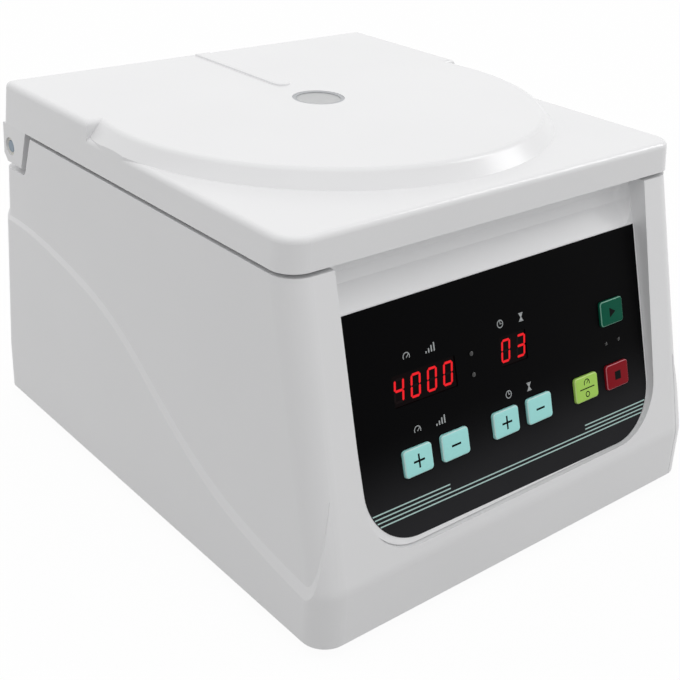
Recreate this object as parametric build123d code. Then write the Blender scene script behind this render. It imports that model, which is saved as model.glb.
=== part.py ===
from build123d import *
import math
import os

# Benchtop centrifuge in millimetres. Seen from the front, X points right, Y to the rear and Z up.
# The origin lies on the table under the middle of the housing.

# Housing: a raked and drafted moulding on a straight band that goes all round its foot
foot_height = 6.0
housing_length = 369.0
base_width = 311.0
deck_width = 302.5
housing_height = 197.5
band_height = 34.0
front_rake = 40.6
rear_rake = 18.2
wall = 3.0
front_corner_radius = 15.0
rear_corner_radius = 8.0
deck_rear_chamfer = 2.0
belt_radius = 22.0

# Swept shoulder on both sides: the side above it is set back. Its heights stand at shares of the housing's length,
# counted from the rear
shoulder_relief = 1.6
shoulder_rise_rear = 2.2
shoulder_rise_front = 7.0
shoulder_heights = [133.0, 135.4, 130.0, 111.5, 82.0, 54.5, 39.5, 35.5]
shoulder_shares = [0.00271003, 0.06504065, 0.24390244, 0.43360434, 0.56910569, 0.7100271, 0.86720867, 0.95392954]

# Operating panel in a recess of the front, leaning back
panel_width = 239.0
panel_length = 134.0
panel_corner_radius = 35.0
panel_thickness = 1.5
panel_gap = 0.75
panel_bottom_height = 41.3
panel_set_back = 3.1
panel_tilt = 16.3
recess_draft = 2.0

# Finger scoop above the panel, open to the top, and its rounded corners
scoop_run = 10.8
scoop_rise = 12.0
scoop_reach = 16.5
scoop_radius = 9.0

# How far the cutting shapes run on past the body
cutter_reach = 70.0

# Rotor chamber
chamber_y = 24.0
chamber_radius = 116.0
chamber_depth = 115.0
bowl_thickness = 1.2
bowl_flange = 6.0
bowl_gap = 0.5
bowl_corner_radius = 10.0
bowl_floor_radius = 18.0
seal_width = 6.0
seal_lip = 1.2
seal_squash_gap = 0.3
barrel_thickness = 2.0
barrel_gap = 3.0
barrel_window_width = 80.0
barrel_window_rise = 12.0
barrel_window_height = 22.0

# Lid
lid_gap = 2.5
lid_inset = 1.25
lid_skirt = 18.0
plateau_height = 9.5
plateau_foot_radius = 149.4
plateau_top_radius = 141.0
rear_block_length = 113.0
lid_corner_radius = 14.0
lid_rear_corner_radius = 5.0
lid_edge_radius = 3.5
lid_top_radius = 4.0
lid_draft = 0.065
lid_wall = 3.0
plateau_edge_radius = 5.0
block_edge_radius = 3.0
liner_thickness = 2.0
liner_lift = 0.5
liner_gap = 0.6
boss_radius = 5.0
boss_side_margin = 18.0
boss_front_margin = 20.0
boss_middle_margin = 14.0
boss_rear_margin = 48.3
liner_screw_radius = 1.5
liner_screw_length = 12.0
liner_screw_head = 3.2
spine_width = 12.0
spine_height = 1.2
spine_length = 100.0
spine_edge_radius = 0.8
window_radius = 16.7
window_rim = 2.0
window_depth = 4.0
window_recess = 0.4
lens_thickness = 2.5
lens_lift = 0.8
lens_gap = 0.1
lens_grip = 0.6

# Lid hinge: an ear each side runs on a steel pin that the housing holds
pin_radius = 4.0
pin_clearance = 0.05
pin_hole_gap = 0.2
pin_to_rear = 26.0
pin_height = 185.2
pin_inner_reach = 24.0
pin_recess = 0.6
pin_chamfer = 0.5
ear_width = 12.0
ear_drop = 11.2
ear_corner = 5.0
ear_front = 14.2
ear_flare = 10.5
bush_wall = 2.0
bush_flange = 1.1
ear_side_gap = 1.5
notch_gap = 3.9
notch_front_gap = 6.6
notch_corner_radius = 5.0
bracket_thickness = 3.0
bracket_width = 18.0
bracket_reach = 21.0
bracket_drop = 16.0

# Lid lock: a hook under the lid and a sprung bolt that crosses it
hook_thickness = 3.0
hook_width = 10.0
hook_length = 28.0
hook_foot = 9.0
hook_foot_thickness = 1.2
hook_chamfer = 2.5
hook_to_front = 33.9
hook_window = 7.0
hook_window_drop = 15.0
hook_slot_gap = 2.0
bolt_radius = 2.5
bolt_chamfer = 0.6
bolt_clearance = 0.2
bolt_gap = 2.5
bolt_head_radius = 5.0
bolt_head_length = 3.0
lock_travel = 12.0
solenoid_gap = 8.0
solenoid_length = 19.0
solenoid_size = 18.0
solenoid_frame = 2.0
coil_gap = 0.3

# Rotor with slanted pockets, their sleeves and the spindle
pocket_count = 8
pocket_tilt = 30.0
pocket_radius = 9.6
pocket_length = 84.0
pocket_mouth_radius = 42.0
rotor_top_z = 178.0
rotor_bottom_z = 99.0
rotor_rim_radius = 98.0
rotor_top_radius = 59.0
rotor_hollow_radius = 66.0
rotor_hollow_drop = 22.0
hub_radius = 17.0
dish_top_radius = 24.0
dish_floor_radius = 18.0
dish_depth = 10.0
sleeve_wall = 0.9
sleeve_gap = 0.1
sleeve_drop = 7.0
spindle_radius = 6.0
spindle_clearance = 0.05
spindle_thread_radius = 4.5
spindle_step = 4.0
spindle_collar = 4.0
boot_radius = 17.0
boot_wall = 5.0
boot_lip = 4.0
nut_radius = 13.0
nut_height = 14.0
nut_flutes = 8
nut_flute_radius = 2.5
nut_crown_radius = 3.0
nut_top_wall = 2.5

# Motor, hung low on rubber dampers
motor_radius = 46.0
motor_wall = 4.0
motor_cap_height = 12.0
motor_cap_chamfer = 2.5
motor_can_height = 29.0
cooling_window_count = 6
cooling_window_radius = 4.5
cooling_window_circle = 32.0
stator_bore = 27.0
stator_slots = 12
stator_slot_width = 5.0
stator_slot_depth = 10.0
stator_end_gap = 3.0
air_gap = 1.0
damper_height = 13.0
damper_radius = 10.0
damper_waist = 2.0
damper_circle = 58.0
damper_angles = [30, 150, 270]
motor_plate_thickness = 3.0
motor_plate_radius = 72.0
motor_plate_scallop = 8.5
bearing_radius = 14.0
bearing_height = 8.0
bearing_groove = 0.6
bearing_ring = 2.8

# Keys, switches and displays, placed from the middle of the panel's lower edge
low_row = 44.5
high_row = 85.0
key_places = {
    "speed_up": (-77.6, low_row),
    "speed_down": (-49.8, low_row),
    "time_up": (-9.4, low_row),
    "time_down": (18.7, low_row),
    "mode": (60.5, low_row),
    "stop": (89.5, low_row),
    "start": (89.5, high_row),
}
display_places = {"speed": (-64.4, 4), "time": (4.4, 2)}
lamp_places = [(-29.2, 78.8), (-29.2, 91.0), (83.4, 66.0), (95.2, 66.0)]
display_height = 19.2
digit_pitch = 12.4
display_margin = 2.0
display_depth = 8.0
panel_opening_width = 206.0
panel_opening_margin = 2.5
key_width = 21.0
key_height = 16.5
key_corner_radius = 2.0
key_proud = 2.0
key_gap = 0.3
key_edge_radius = 0.8
key_travel = 1.2
key_flange = 1.2
key_stem_radius = 2.5
board_depth = 13.0
board_thickness = 1.6
board_width = 224.0
board_low = 26.0
board_high = 107.0
standoff_places = [(-108.0, 31.0), (108.0, 31.0), (-108.0, 102.0), (108.0, 102.0)]
standoff_radius = 3.0
switch_size = 12.0
switch_height = 2.8
switch_button_height = 0.4
display_recess = 0.4
lamp_radius = 1.5

# Feet, base plate and air slots
base_thickness = 2.0
base_gap = 0.3
base_slot_count = 7
base_slot_length = 60.0
base_slot_width = 4.0
base_slot_pitch = 12.0
foot_radius = 11.0
foot_edge = 1.5
foot_side_margin = 27.5
foot_end_margin = 29.5
foot_seat_height = 3.5
screw_radius = 2.0
screw_gap = 0.3
screw_length = 18.0
screw_head_radius = 4.0
screw_head_height = 2.0
post_radius = 6.0
post_height = 30.0
post_web = 3.0
louvre_count = 9
louvre_pitch = 8.0
louvre_width = 3.0
louvre_start = 36.0
louvre_height = 66.0
louvre_length = 38.0

# Rear fittings in their pocket: appliance inlet and rocker switch
fitting_height = 19.0
fitting_pocket_depth = 5.0
fitting_pocket_height = 26.0
fitting_margin = 6.0
fitting_gap = 0.2
inlet_side_margin = 63.5
inlet_width = 27.4
inlet_height = 19.8
inlet_wall = 1.6
inlet_depth = 20.0
inlet_flange_width = 50.0
inlet_flange_height = 24.0
inlet_flange_thickness = 2.4
inlet_to_switch = 44.0
switch_frame_width = 19.0
switch_frame_height = 13.0
switch_frame_wall = 1.2
switch_frame_depth = 15.0
switch_flange_width = 22.0
switch_flange_height = 16.0
switch_flange_thickness = 1.8
rocker_gap = 0.4
rocker_swing_gap = 1.1
rocker_pin_radius = 1.2
rocker_set_back = 1.5
rocker_high = 4.4
rocker_low = 3.1
rocker_dip = 0.2
rocker_foot = 6.0
rocker_waist = 3.0
rocker_depth = 6.5
inlet_pins = [(-7.0, -2.0), (7.0, -2.0), (0.0, 2.0)]
inlet_pin_width = 2.0
inlet_pin_height = 4.0
inlet_pin_length = 12.0
inlet_screw_x = 20.0

# Electrics on the base plate, in front of the barrel
electrics_margin = 56.5
control_side_margin = 93.5
control_length = 110.0
control_width = 54.0
control_spacer = 6.0
control_spacer_x = 50.0
control_spacer_y = 22.0
sink_x = 34.0
sink_plate = 4.0
sink_width = 13.0
sink_height = 22.0
sink_length = 46.0
sink_fin = 2.0
sink_fins = 5
sink_fin_pitch = 10.0
capacitor_places = [-35.0, -14.0]
capacitor_radius = 9.0
capacitor_height = 25.0
transformer_side_margin = 80.5
transformer_lift = 2.0
core_length = 57.0
core_width = 32.0
core_height = 46.0
coil_length = 38.0
coil_width = 50.0
coil_height = 32.0
clamp_length = 82.0

housing_z = foot_height
deck_z = housing_z + housing_height
band_z = housing_z + band_height
front_y = -housing_length / 2
rear_y = housing_length / 2
deck_front_y = front_y + front_rake
deck_rear_y = rear_y - rear_rake
lid_width = deck_width - 2 * lid_inset
boss_x = lid_width / 2 - boss_side_margin
boss_rows = [deck_front_y + boss_front_margin, chamber_y - boss_middle_margin, deck_rear_y - boss_rear_margin]
boss_places = [(x, y) for x in (-boss_x, boss_x) for y in boss_rows]
pin_y = rear_y - pin_to_rear
hook_y = deck_front_y + hook_to_front
foot_x = base_width / 2 - foot_side_margin
foot_y = rear_y - foot_end_margin
inlet_x = base_width / 2 - inlet_side_margin
power_switch_x = inlet_x - inlet_to_switch
electrics_y = front_y + electrics_margin
control_x = base_width / 2 - control_side_margin
transformer_x = transformer_side_margin - base_width / 2
lid_z = deck_z + lid_gap
lid_deck_z = lid_z + lid_skirt
lid_top_z = lid_deck_z + plateau_height
liner_z = lid_z + liner_lift
pin_z = housing_z + pin_height
bolt_z = liner_z - hook_window_drop - hook_window / 2
bolt_tip_x = hook_thickness / 2 + bolt_gap
solenoid_x = bolt_tip_x + solenoid_gap
bolt_length = solenoid_gap + solenoid_length + lock_travel + bolt_head_length + bolt_gap
base_top_z = housing_z + base_thickness
motor_plate_z = base_top_z + damper_height
motor_z = motor_plate_z + motor_plate_thickness
motor_top_z = motor_z + 2 * motor_cap_height + motor_can_height
bowl_outer_radius = chamber_radius + bowl_thickness
bowl_floor_z = deck_z - chamber_depth
barrel_radius = bowl_outer_radius + barrel_gap
side_draft = (base_width - deck_width) / 2 / housing_height
front_slope = front_rake / (housing_height - band_height)
rear_slope = rear_rake / (housing_height - band_height)


def side_x(z, inset=0.0):
    """Half width of the housing at a height."""
    return base_width / 2 - side_draft * (z - housing_z) - inset * math.hypot(1, side_draft)


def rear_wall_y(z):
    """Rear face of the housing and lid at a height above the band."""
    return rear_y - rear_slope * (z - band_z)


def front_wall_y(z):
    """Front face of the housing at a height above the band."""
    return front_y + front_slope * (z - band_z)


panel_normal = Vector(0, -math.cos(math.radians(panel_tilt)), math.sin(math.radians(panel_tilt)))
panel_z = housing_z + panel_bottom_height
panel_y = front_wall_y(panel_z) + panel_set_back
panel_plane = Plane(origin=(0, panel_y, panel_z), x_dir=(1, 0, 0), z_dir=panel_normal)
chamber = Pos(0, chamber_y, 0)
inlet_place = Pos(inlet_x, rear_y - fitting_pocket_depth, housing_z + fitting_height)
power_switch_place = Pos(power_switch_x, rear_y - fitting_pocket_depth, housing_z + fitting_height)
corner_places = [(sx * foot_x, sy * foot_y) for sx in (-1, 1) for sy in (-1, 1)]


def on_panel(depth=0.0):
    """Panel's plane, moved inwards by a depth."""
    return panel_plane.offset(-depth)


def box_between(x0, x1, y0, y1, z0, z1):
    return Pos((x0 + x1) / 2, (y0 + y1) / 2, (z0 + z1) / 2) * Box(x1 - x0, y1 - y0, z1 - z0)


def rod(radius, z0, z1, x=0.0, y=0.0):
    """Upright cylinder between two heights."""
    return Pos(x, y, (z0 + z1) / 2) * Cylinder(radius, z1 - z0)


def cross_rod(radius, x0, x1, y, z):
    """Cylinder along X between two stations."""
    return Pos((x0 + x1) / 2, y, z) * Rot(0, 90, 0) * Cylinder(radius, abs(x1 - x0))


def mirrored(part):
    return mirror(part, about=Plane.YZ)


def housing_side_outline(bottom_z):
    """Side outline of the housing: band, raked front and rear, flat deck."""
    points = [(front_y, bottom_z), (front_y, band_z), (deck_front_y, deck_z),
              (deck_rear_y, deck_z), (rear_y, band_z), (rear_y, bottom_z)]
    face = make_face(Polyline(*points, close=True))
    belt = face.vertices().filter_by_position(Axis.Y, band_z - 0.1, band_z + 0.1)
    return fillet(belt, belt_radius)


def housing_block(side_inset, inset, bottom_z):
    """Body of the housing moved in by the insets, with rounded upright corners."""
    outline = housing_side_outline(bottom_z)
    if inset > 0:
        outline = offset(outline, amount=-inset, kind=Kind.INTERSECTION)
    low = bottom_z - wall
    high = deck_z + wall
    ends = make_face(Polyline((-side_x(low, side_inset), low), (side_x(low, side_inset), low),
                              (side_x(high, side_inset), high), (-side_x(high, side_inset), high),
                              close=True))
    block = extrude(Plane.YZ * outline, amount=base_width, both=True)
    block &= extrude(Plane.XZ * ends, amount=housing_length, both=True)
    corners = [e for e in block.edges() if e.bounding_box().size.Z > 0.3 and abs(e.center().X) > deck_width / 3]
    block = fillet([e for e in corners if e.center().Y < 0], front_corner_radius - inset)
    corners = [e for e in block.edges() if e.bounding_box().size.Z > 0.3 and e.center().Y > 0
               and abs(e.center().X) > deck_width / 3]
    return fillet(corners, rear_corner_radius - inset)


def shoulder_side(outer_x, inner_x):
    """Wedge under the swept shoulder of the right side, its top sloping down and out."""
    faces = []
    for x in (outer_x, inner_x):
        points = []
        for share, height in zip(shoulder_shares, shoulder_heights):
            z = housing_z + height
            rise = shoulder_rise_rear + (shoulder_rise_front - shoulder_rise_rear) * share
            inside = side_x(z, shoulder_relief) - x
            points.append((rear_y - share * housing_length, z + inside * rise / shoulder_relief))
        first = points[0]
        last = points[-1]
        front_end = (front_y - wall, last[1])
        rear_end = (rear_y + wall, first[1])
        low = housing_z - base_width
        rim = Polyline(last, front_end, (front_end[0], low), (rear_end[0], low), rear_end, first)
        face = make_face(Curve() + [Spline(*points), rim])
        faces.append(Plane(origin=(x, 0, 0), x_dir=(0, 1, 0), z_dir=(1, 0, 0)) * face)
    return loft(faces, ruled=True)


def recess_cutter(grow, draft):
    """Space of the panel recess, grown on all sides for the wall behind it."""
    half = panel_width / 2 + panel_gap + grow
    low = -panel_gap - grow
    high = panel_length + cutter_reach
    sketch = Pos(0, (low + high) / 2) * Rectangle(2 * half, high - low)
    bottom = sketch.vertices().filter_by_position(Axis.Y, low - 0.1, low + 0.1)
    sketch = fillet(bottom, panel_corner_radius + panel_gap + grow)
    return extrude(on_panel(panel_thickness + grow) * sketch, amount=cutter_reach, taper=-draft)


def scoop_cutter(grow):
    """Finger scoop: rises from the panel's top edge, curves up and runs out through the deck."""
    start = (on_panel(panel_thickness) * Pos(0, panel_length, 0)).position
    knee = (start.Y + scoop_run + grow, start.Z + scoop_rise - grow)
    back = deck_front_y + scoop_reach + grow
    front = start.Y - cutter_reach
    top = deck_z + 10
    points = [(front, start.Z - grow), (start.Y + grow, start.Z - grow), knee,
              (back, knee[1] + 6), (back, top), (front, top)]
    face = make_face(Polyline(*points, close=True))
    half = panel_width / 2 + panel_gap + grow
    cutter = extrude(Plane.YZ * face, amount=half, both=True)
    rear_corners = [e for e in cutter.edges() if abs(abs(e.center().X) - half) < 0.01
                    and e.center().Y > start.Y + grow + 0.5 and e.center().Z < top - 1]
    return fillet(rear_corners, scoop_radius)


def ear_outline(grow, front_gap, floor_gap):
    """Side outline of the hinge ear, or of the notch around it."""
    top = lid_z + 14
    lean = ear_flare / (lid_z - (pin_z - ear_drop))
    low = pin_z - ear_drop - floor_gap - grow
    front_low = pin_y - ear_front - front_gap - grow + lean * (floor_gap + grow)
    points = [(front_low, low), (front_low - lean * (top - low), top)]
    return points, low, top


def notch_cutter(grow):
    """Rear corner notches of the housing, where the lid's hinge ears swing."""
    points, low, top = ear_outline(grow, notch_front_gap, notch_gap)
    points = points + [(rear_y + wall, top), (rear_y + wall, low)]
    face = make_face(Polyline(*points, close=True))
    corner = face.vertices().sort_by(Axis.Y)[:2].sort_by(Axis.X)[0]
    face = fillet(corner, notch_corner_radius)
    inner = lid_width / 2 - ear_width - ear_side_gap - grow
    side = extrude(Plane(origin=(inner, 0, 0), x_dir=(0, 1, 0), z_dir=(1, 0, 0)) * face, amount=2 * ear_width)
    return side + mirrored(side)


def fitting_pocket(grow):
    """Shallow pocket in the rear band for the inlet and the power switch."""
    x0 = power_switch_x - switch_flange_width / 2 - fitting_margin - grow
    x1 = inlet_x + inlet_flange_width / 2 + fitting_margin + grow
    z = housing_z + fitting_height
    half = fitting_pocket_height / 2 + grow
    return box_between(x0, x1, rear_y - fitting_pocket_depth - grow, rear_y + wall, z - half, z + half)


def rear_louvres():
    """Upright air slots in the raked rear wall."""
    slots = Part()
    z0 = housing_z + louvre_height
    z1 = z0 + louvre_length
    for side in (-1, 1):
        for i in range(louvre_count):
            x = side * (louvre_start + louvre_pitch * i)
            slots += box_between(x - louvre_width / 2, x + louvre_width / 2, deck_rear_y - wall, rear_y, z0, z1)
    return slots


def housing_posts():
    """Screw posts inside the corners of the housing, each tied to the side wall by a web."""
    posts = Part()
    z0 = base_top_z
    z1 = z0 + post_height
    for x, y in corner_places:
        reach = math.copysign(side_x(z1, shoulder_relief) - wall / 2, x)
        posts += rod(post_radius, z0, z1, x, y)
        posts += box_between(min(x, reach), max(x, reach), y - post_web / 2, y + post_web / 2, z0, z1)
    return posts


def make_housing_shell():
    upper = housing_block(shoulder_relief, 0, housing_z)
    full = housing_block(0, 0, housing_z)
    wedge = shoulder_side(base_width / 2 + 4, base_width / 2 - 14)
    shell = upper + (full & wedge) + (full & mirrored(wedge))
    chamfer_cut = deck_rear_chamfer * math.sqrt(2)
    shell -= Pos(0, deck_rear_y, deck_z) * Rot(45, 0, 0) * Box(base_width, chamfer_cut, chamfer_cut)
    shell -= recess_cutter(0, recess_draft)
    shell -= scoop_cutter(0)
    shell -= notch_cutter(0)
    shell -= fitting_pocket(0)
    cavity = housing_block(shoulder_relief + wall, wall, housing_z - 2 * wall)
    cavity -= recess_cutter(wall, 0)
    cavity -= scoop_cutter(wall)
    cavity -= notch_cutter(wall)
    cavity -= fitting_pocket(wall)
    shell -= cavity
    shell += housing_posts()
    shell -= chamber * rod(bowl_outer_radius + bowl_gap, deck_z - 2 * wall, deck_z)
    shell -= chamber * rod(bowl_outer_radius + bowl_flange + bowl_gap, deck_z - bowl_thickness, deck_z)
    slot_x = hook_thickness / 2 + hook_slot_gap
    slot_y = hook_width / 2 + hook_slot_gap
    shell -= box_between(-slot_x, slot_x, hook_y - slot_y, hook_y + slot_y, deck_z - 2 * wall, deck_z)
    shell -= rear_louvres()
    shell -= panel_opening()
    for side in (-1, 1):
        shell -= cross_rod(pin_radius + pin_hole_gap, 0, side * deck_width / 2, pin_y, pin_z)
    for x, y in corner_places:
        shell -= rod(screw_radius, base_top_z, base_top_z + screw_length + wall, x, y)
    gap = 2 * fitting_gap
    shell -= inlet_place * Box(inlet_width + gap, inlet_depth, inlet_height + gap)
    shell -= power_switch_place * Box(switch_frame_width + gap, switch_frame_depth, switch_frame_height + gap)
    return shell


def panel_opening():
    """Opening behind the panel for the keys and displays."""
    low = low_row - key_height / 2 - panel_opening_margin
    high = high_row + display_height / 2 + panel_opening_margin
    sketch = Pos(0, (low + high) / 2) * Rectangle(panel_opening_width, high - low)
    return extrude(on_panel(panel_thickness + 2 * wall) * sketch, amount=2 * wall)


def make_base_plate():
    """Steel base plate that closes the housing from below, with air slots under the motor."""
    inset = wall + base_gap
    block = housing_block(shoulder_relief + inset, inset, housing_z - 2 * wall)
    plate = block & box_between(-base_width, base_width, front_y, rear_y, housing_z, base_top_z)
    for x, y in corner_places:
        plate -= rod(screw_radius + screw_gap, housing_z, base_top_z, x, y)
    for i in range(base_slot_count):
        y = chamber_y + (i - (base_slot_count - 1) / 2) * base_slot_pitch
        plate -= box_between(-base_slot_length / 2, base_slot_length / 2, y - base_slot_width / 2,
                             y + base_slot_width / 2, housing_z, base_top_z)
    return plate


def make_foot(x, y):
    """Rubber foot, drawn in at its sole, with a pocket for the screw head."""
    pocket = screw_head_radius + 1
    hole = screw_radius + screw_gap
    profile = Polyline((pocket, 0), (foot_radius - foot_edge, 0), (foot_radius, foot_edge),
                       (foot_radius, foot_height), (hole, foot_height), (hole, foot_seat_height),
                       (pocket, foot_seat_height), close=True)
    return Pos(x, y, 0) * revolve(Plane.XZ * make_face(profile), Axis.Z)


def make_foot_screws():
    """Screws that hold the feet and the base plate to the housing's posts."""
    screws = Part()
    for x, y in corner_places:
        screws += rod(screw_radius - pin_clearance, foot_seat_height, base_top_z + screw_length, x, y)
        screws += rod(screw_head_radius, foot_seat_height - screw_head_height, foot_seat_height, x, y)
    return screws


def make_chamber_bowl():
    """Deep-drawn steel bowl with a flat flange and a hole for the spindle."""
    r = chamber_radius
    outer_r = bowl_outer_radius
    low = bowl_floor_z - bowl_thickness
    under = deck_z - bowl_thickness
    outline = make_face(Polyline((bowl_floor_radius, low), (outer_r, low), (outer_r, under),
                                 (outer_r + bowl_flange, under), (outer_r + bowl_flange, deck_z),
                                 (r, deck_z), (r, bowl_floor_z), (bowl_floor_radius, bowl_floor_z), close=True))
    outer = outline.vertices().filter_by_position(Axis.X, outer_r - 0.01, outer_r + 0.01).sort_by(Axis.Y)[0]
    outline = fillet(outer, bowl_corner_radius + bowl_thickness)
    inner = outline.vertices().filter_by_position(Axis.X, r - 0.01, r + 0.01).sort_by(Axis.Y)[0]
    outline = fillet(inner, bowl_corner_radius)
    return chamber * revolve(Plane.XZ * outline, Axis.Z)


def make_chamber_seal():
    """Soft ring on the bowl's flange that the lid's liner closes on."""
    outer = bowl_outer_radius + bowl_flange
    inner = outer - seal_width
    top = liner_z - seal_squash_gap
    outline = make_face(Polyline((inner, deck_z), (outer, deck_z), (outer - seal_lip, top),
                                 (inner + seal_lip, top), close=True))
    return chamber * revolve(Plane.XZ * outline, Axis.Z)


def make_guard_barrel():
    """Steel barrel round the bowl that would catch a broken rotor, open low down for the wiring."""
    top = deck_z - wall
    outer = barrel_radius + barrel_thickness
    window = base_top_z + barrel_window_rise
    barrel = rod(outer, base_top_z, top) - rod(barrel_radius, base_top_z, top)
    barrel -= box_between(-barrel_window_width / 2, barrel_window_width / 2, -outer, outer,
                          window, window + barrel_window_height)
    return chamber * barrel


def make_motor_plate():
    """Plate that carries the motor, scalloped between its three dampers."""
    plate = rod(motor_plate_radius, motor_plate_z, motor_z)
    for angle in damper_angles:
        plate -= Rot(0, 0, angle + 60) * rod(motor_plate_scallop, motor_plate_z, motor_z, motor_plate_radius)
    plate -= rod(2 * spindle_radius, motor_plate_z, motor_z)
    return chamber * plate


def make_damper(angle):
    """Rubber damper, waisted, between the base plate and the motor plate."""
    r = damper_radius
    z0 = base_top_z
    z1 = motor_plate_z
    side = ThreePointArc((r, z0), (r - damper_waist, (z0 + z1) / 2), (r, z1))
    outline = make_face(Curve() + [side, Polyline((r, z1), (0, z1), (0, z0), (r, z0))])
    return chamber * Rot(0, 0, angle) * Pos(damper_circle, 0, 0) * revolve(Plane.XZ * outline, Axis.Z)


def make_motor_cap(lower):
    """Motor end cap with its bearing seat and cooling windows."""
    z0 = motor_z if lower else motor_top_z - motor_cap_height
    z1 = z0 + motor_cap_height
    cap = rod(motor_radius, z0, z1)
    cap = chamfer(cap.edges().group_by(Axis.Z)[0 if lower else -1], motor_cap_chamfer)
    seat = z1 - bearing_height if lower else z0
    cap -= rod(bearing_radius, seat, seat + bearing_height)
    cap -= rod(spindle_radius + bearing_ring, z0, z1)
    for i in range(cooling_window_count):
        window = rod(cooling_window_radius, z0, z1, cooling_window_circle)
        cap -= Rot(0, 0, 360 / cooling_window_count * i) * window
    return chamber * cap


def make_motor_can():
    z0 = motor_z + motor_cap_height
    z1 = z0 + motor_can_height
    return chamber * (rod(motor_radius, z0, z1) - rod(motor_radius - motor_wall, z0, z1))


def make_motor_stator():
    """Laminated stack inside the can, with slots towards the armature."""
    z0 = motor_z + motor_cap_height + stator_end_gap
    z1 = z0 + motor_can_height - 2 * stator_end_gap
    stack = rod(motor_radius - motor_wall, z0, z1) - rod(stator_bore, z0, z1)
    half = stator_slot_width / 2
    slot = box_between(stator_bore - wall, stator_bore + stator_slot_depth, -half, half, z0, z1)
    for i in range(stator_slots):
        stack -= Rot(0, 0, 360 / stator_slots * i) * slot
    return chamber * stack


def make_bearing(lower):
    """Ball bearing: one ring with the groove between its races."""
    z0 = motor_z + motor_cap_height - bearing_height if lower else motor_top_z - motor_cap_height
    z1 = z0 + bearing_height
    ring = rod(bearing_radius, z0, z1) - rod(spindle_radius + spindle_clearance, z0, z1)
    groove = rod(bearing_radius - bearing_ring, z1 - bearing_groove, z1)
    groove -= rod(spindle_radius + bearing_ring, z1 - bearing_groove, z1)
    return chamber * (ring - groove)


def make_armature():
    """Armature pressed on the spindle."""
    z0 = motor_z + motor_cap_height + stator_end_gap + air_gap
    z1 = z0 + motor_can_height - 2 * (stator_end_gap + air_gap)
    return chamber * (rod(stator_bore - air_gap, z0, z1) - rod(spindle_radius, z0, z1))


def make_spindle():
    """Motor spindle: steps down above the rotor's hub to a threaded end for the nut."""
    z0 = motor_z + base_thickness
    seat = rotor_top_z - dish_depth
    step = seat - spindle_step
    shaft = rod(spindle_radius, z0, step) + rod(spindle_thread_radius, step, seat + nut_height - wall)
    collar = rod(spindle_radius + spindle_collar, rotor_bottom_z - spindle_collar, rotor_bottom_z)
    return chamber * (shaft + collar)


def make_spindle_seal():
    """Rubber boot between the bowl's floor and the motor."""
    z0 = motor_top_z
    z1 = bowl_floor_z
    lip = bowl_floor_z - bowl_thickness
    inner = boot_radius - boot_wall
    outer = boot_radius + boot_lip
    half = boot_lip / 2
    outline = make_face(Polyline((inner, z0), (outer, z0), (outer, z0 + half), (boot_radius, z0 + half),
                                 (boot_radius, lip - half), (outer, lip), (bowl_floor_radius, lip),
                                 (bowl_floor_radius - pin_hole_gap, z1), (inner, z1), close=True))
    return chamber * revolve(Plane.XZ * outline, Axis.Z)


def pocket_axis(index):
    """Frame at a pocket's mouth whose Z runs down the slanted pocket."""
    place = Rot(0, 0, 360 / pocket_count * index) * Pos(pocket_mouth_radius, 0, rotor_top_z)
    return place * Rot(0, 180 - pocket_tilt, 0)


def make_rotor():
    """Cast angle rotor: a cone parallel to its pockets, hollow below and dished at the nut."""
    top = rotor_top_z
    low = rotor_bottom_z
    slope = math.tan(math.radians(pocket_tilt))
    rim_top = top - (rotor_rim_radius - rotor_top_radius) / slope
    hollow_top = top - rotor_hollow_drop
    hollow_top_radius = rotor_hollow_radius - (hollow_top - low) * slope
    dish = top - dish_depth
    outline = make_face(Polyline((0, low), (hub_radius, low), (hub_radius, hollow_top),
                                 (hollow_top_radius, hollow_top), (rotor_hollow_radius, low),
                                 (rotor_rim_radius, low), (rotor_rim_radius, rim_top), (rotor_top_radius, top),
                                 (dish_top_radius, top), (dish_floor_radius, dish), (0, dish), close=True))
    body = revolve(Plane.XZ * outline, Axis.Z)
    body -= rod(spindle_radius + spindle_clearance, low, top)
    deep = pocket_length - pocket_radius
    drill = Cylinder(pocket_radius, 2 * deep) + Pos(0, 0, deep) * Sphere(pocket_radius)
    for i in range(pocket_count):
        body -= pocket_axis(i) * drill
    return chamber * body


def make_tube_sleeves():
    """Thin sleeves with a rim, one in each pocket of the rotor."""
    outer = pocket_radius - sleeve_gap
    inner = outer - sleeve_wall
    deep = pocket_length - pocket_radius
    sleeve = Pos(0, 0, deep / 2) * Cylinder(outer, deep) + Pos(0, 0, deep) * Sphere(outer)
    sleeve -= Cylinder(inner, 2 * deep) + Pos(0, 0, deep) * Sphere(inner)
    sleeve -= Cylinder(outer, 2 * sleeve_drop)
    sleeves = Part()
    for i in range(pocket_count):
        sleeves += chamber * pocket_axis(i) * sleeve
    return sleeves


def make_rotor_nut():
    """Fluted cap nut that holds the rotor on the spindle."""
    z0 = rotor_top_z - dish_depth
    z1 = z0 + nut_height
    nut = rod(nut_radius, z0, z1)
    nut = fillet(nut.edges().group_by(Axis.Z)[-1], nut_crown_radius)
    for i in range(nut_flutes):
        nut -= Rot(0, 0, 360 / nut_flutes * i) * rod(nut_flute_radius, z0 + wall, z1, nut_radius + 1)
    nut -= rod(spindle_thread_radius + spindle_clearance, z0, z1 - nut_top_wall)
    return chamber * nut


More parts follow.
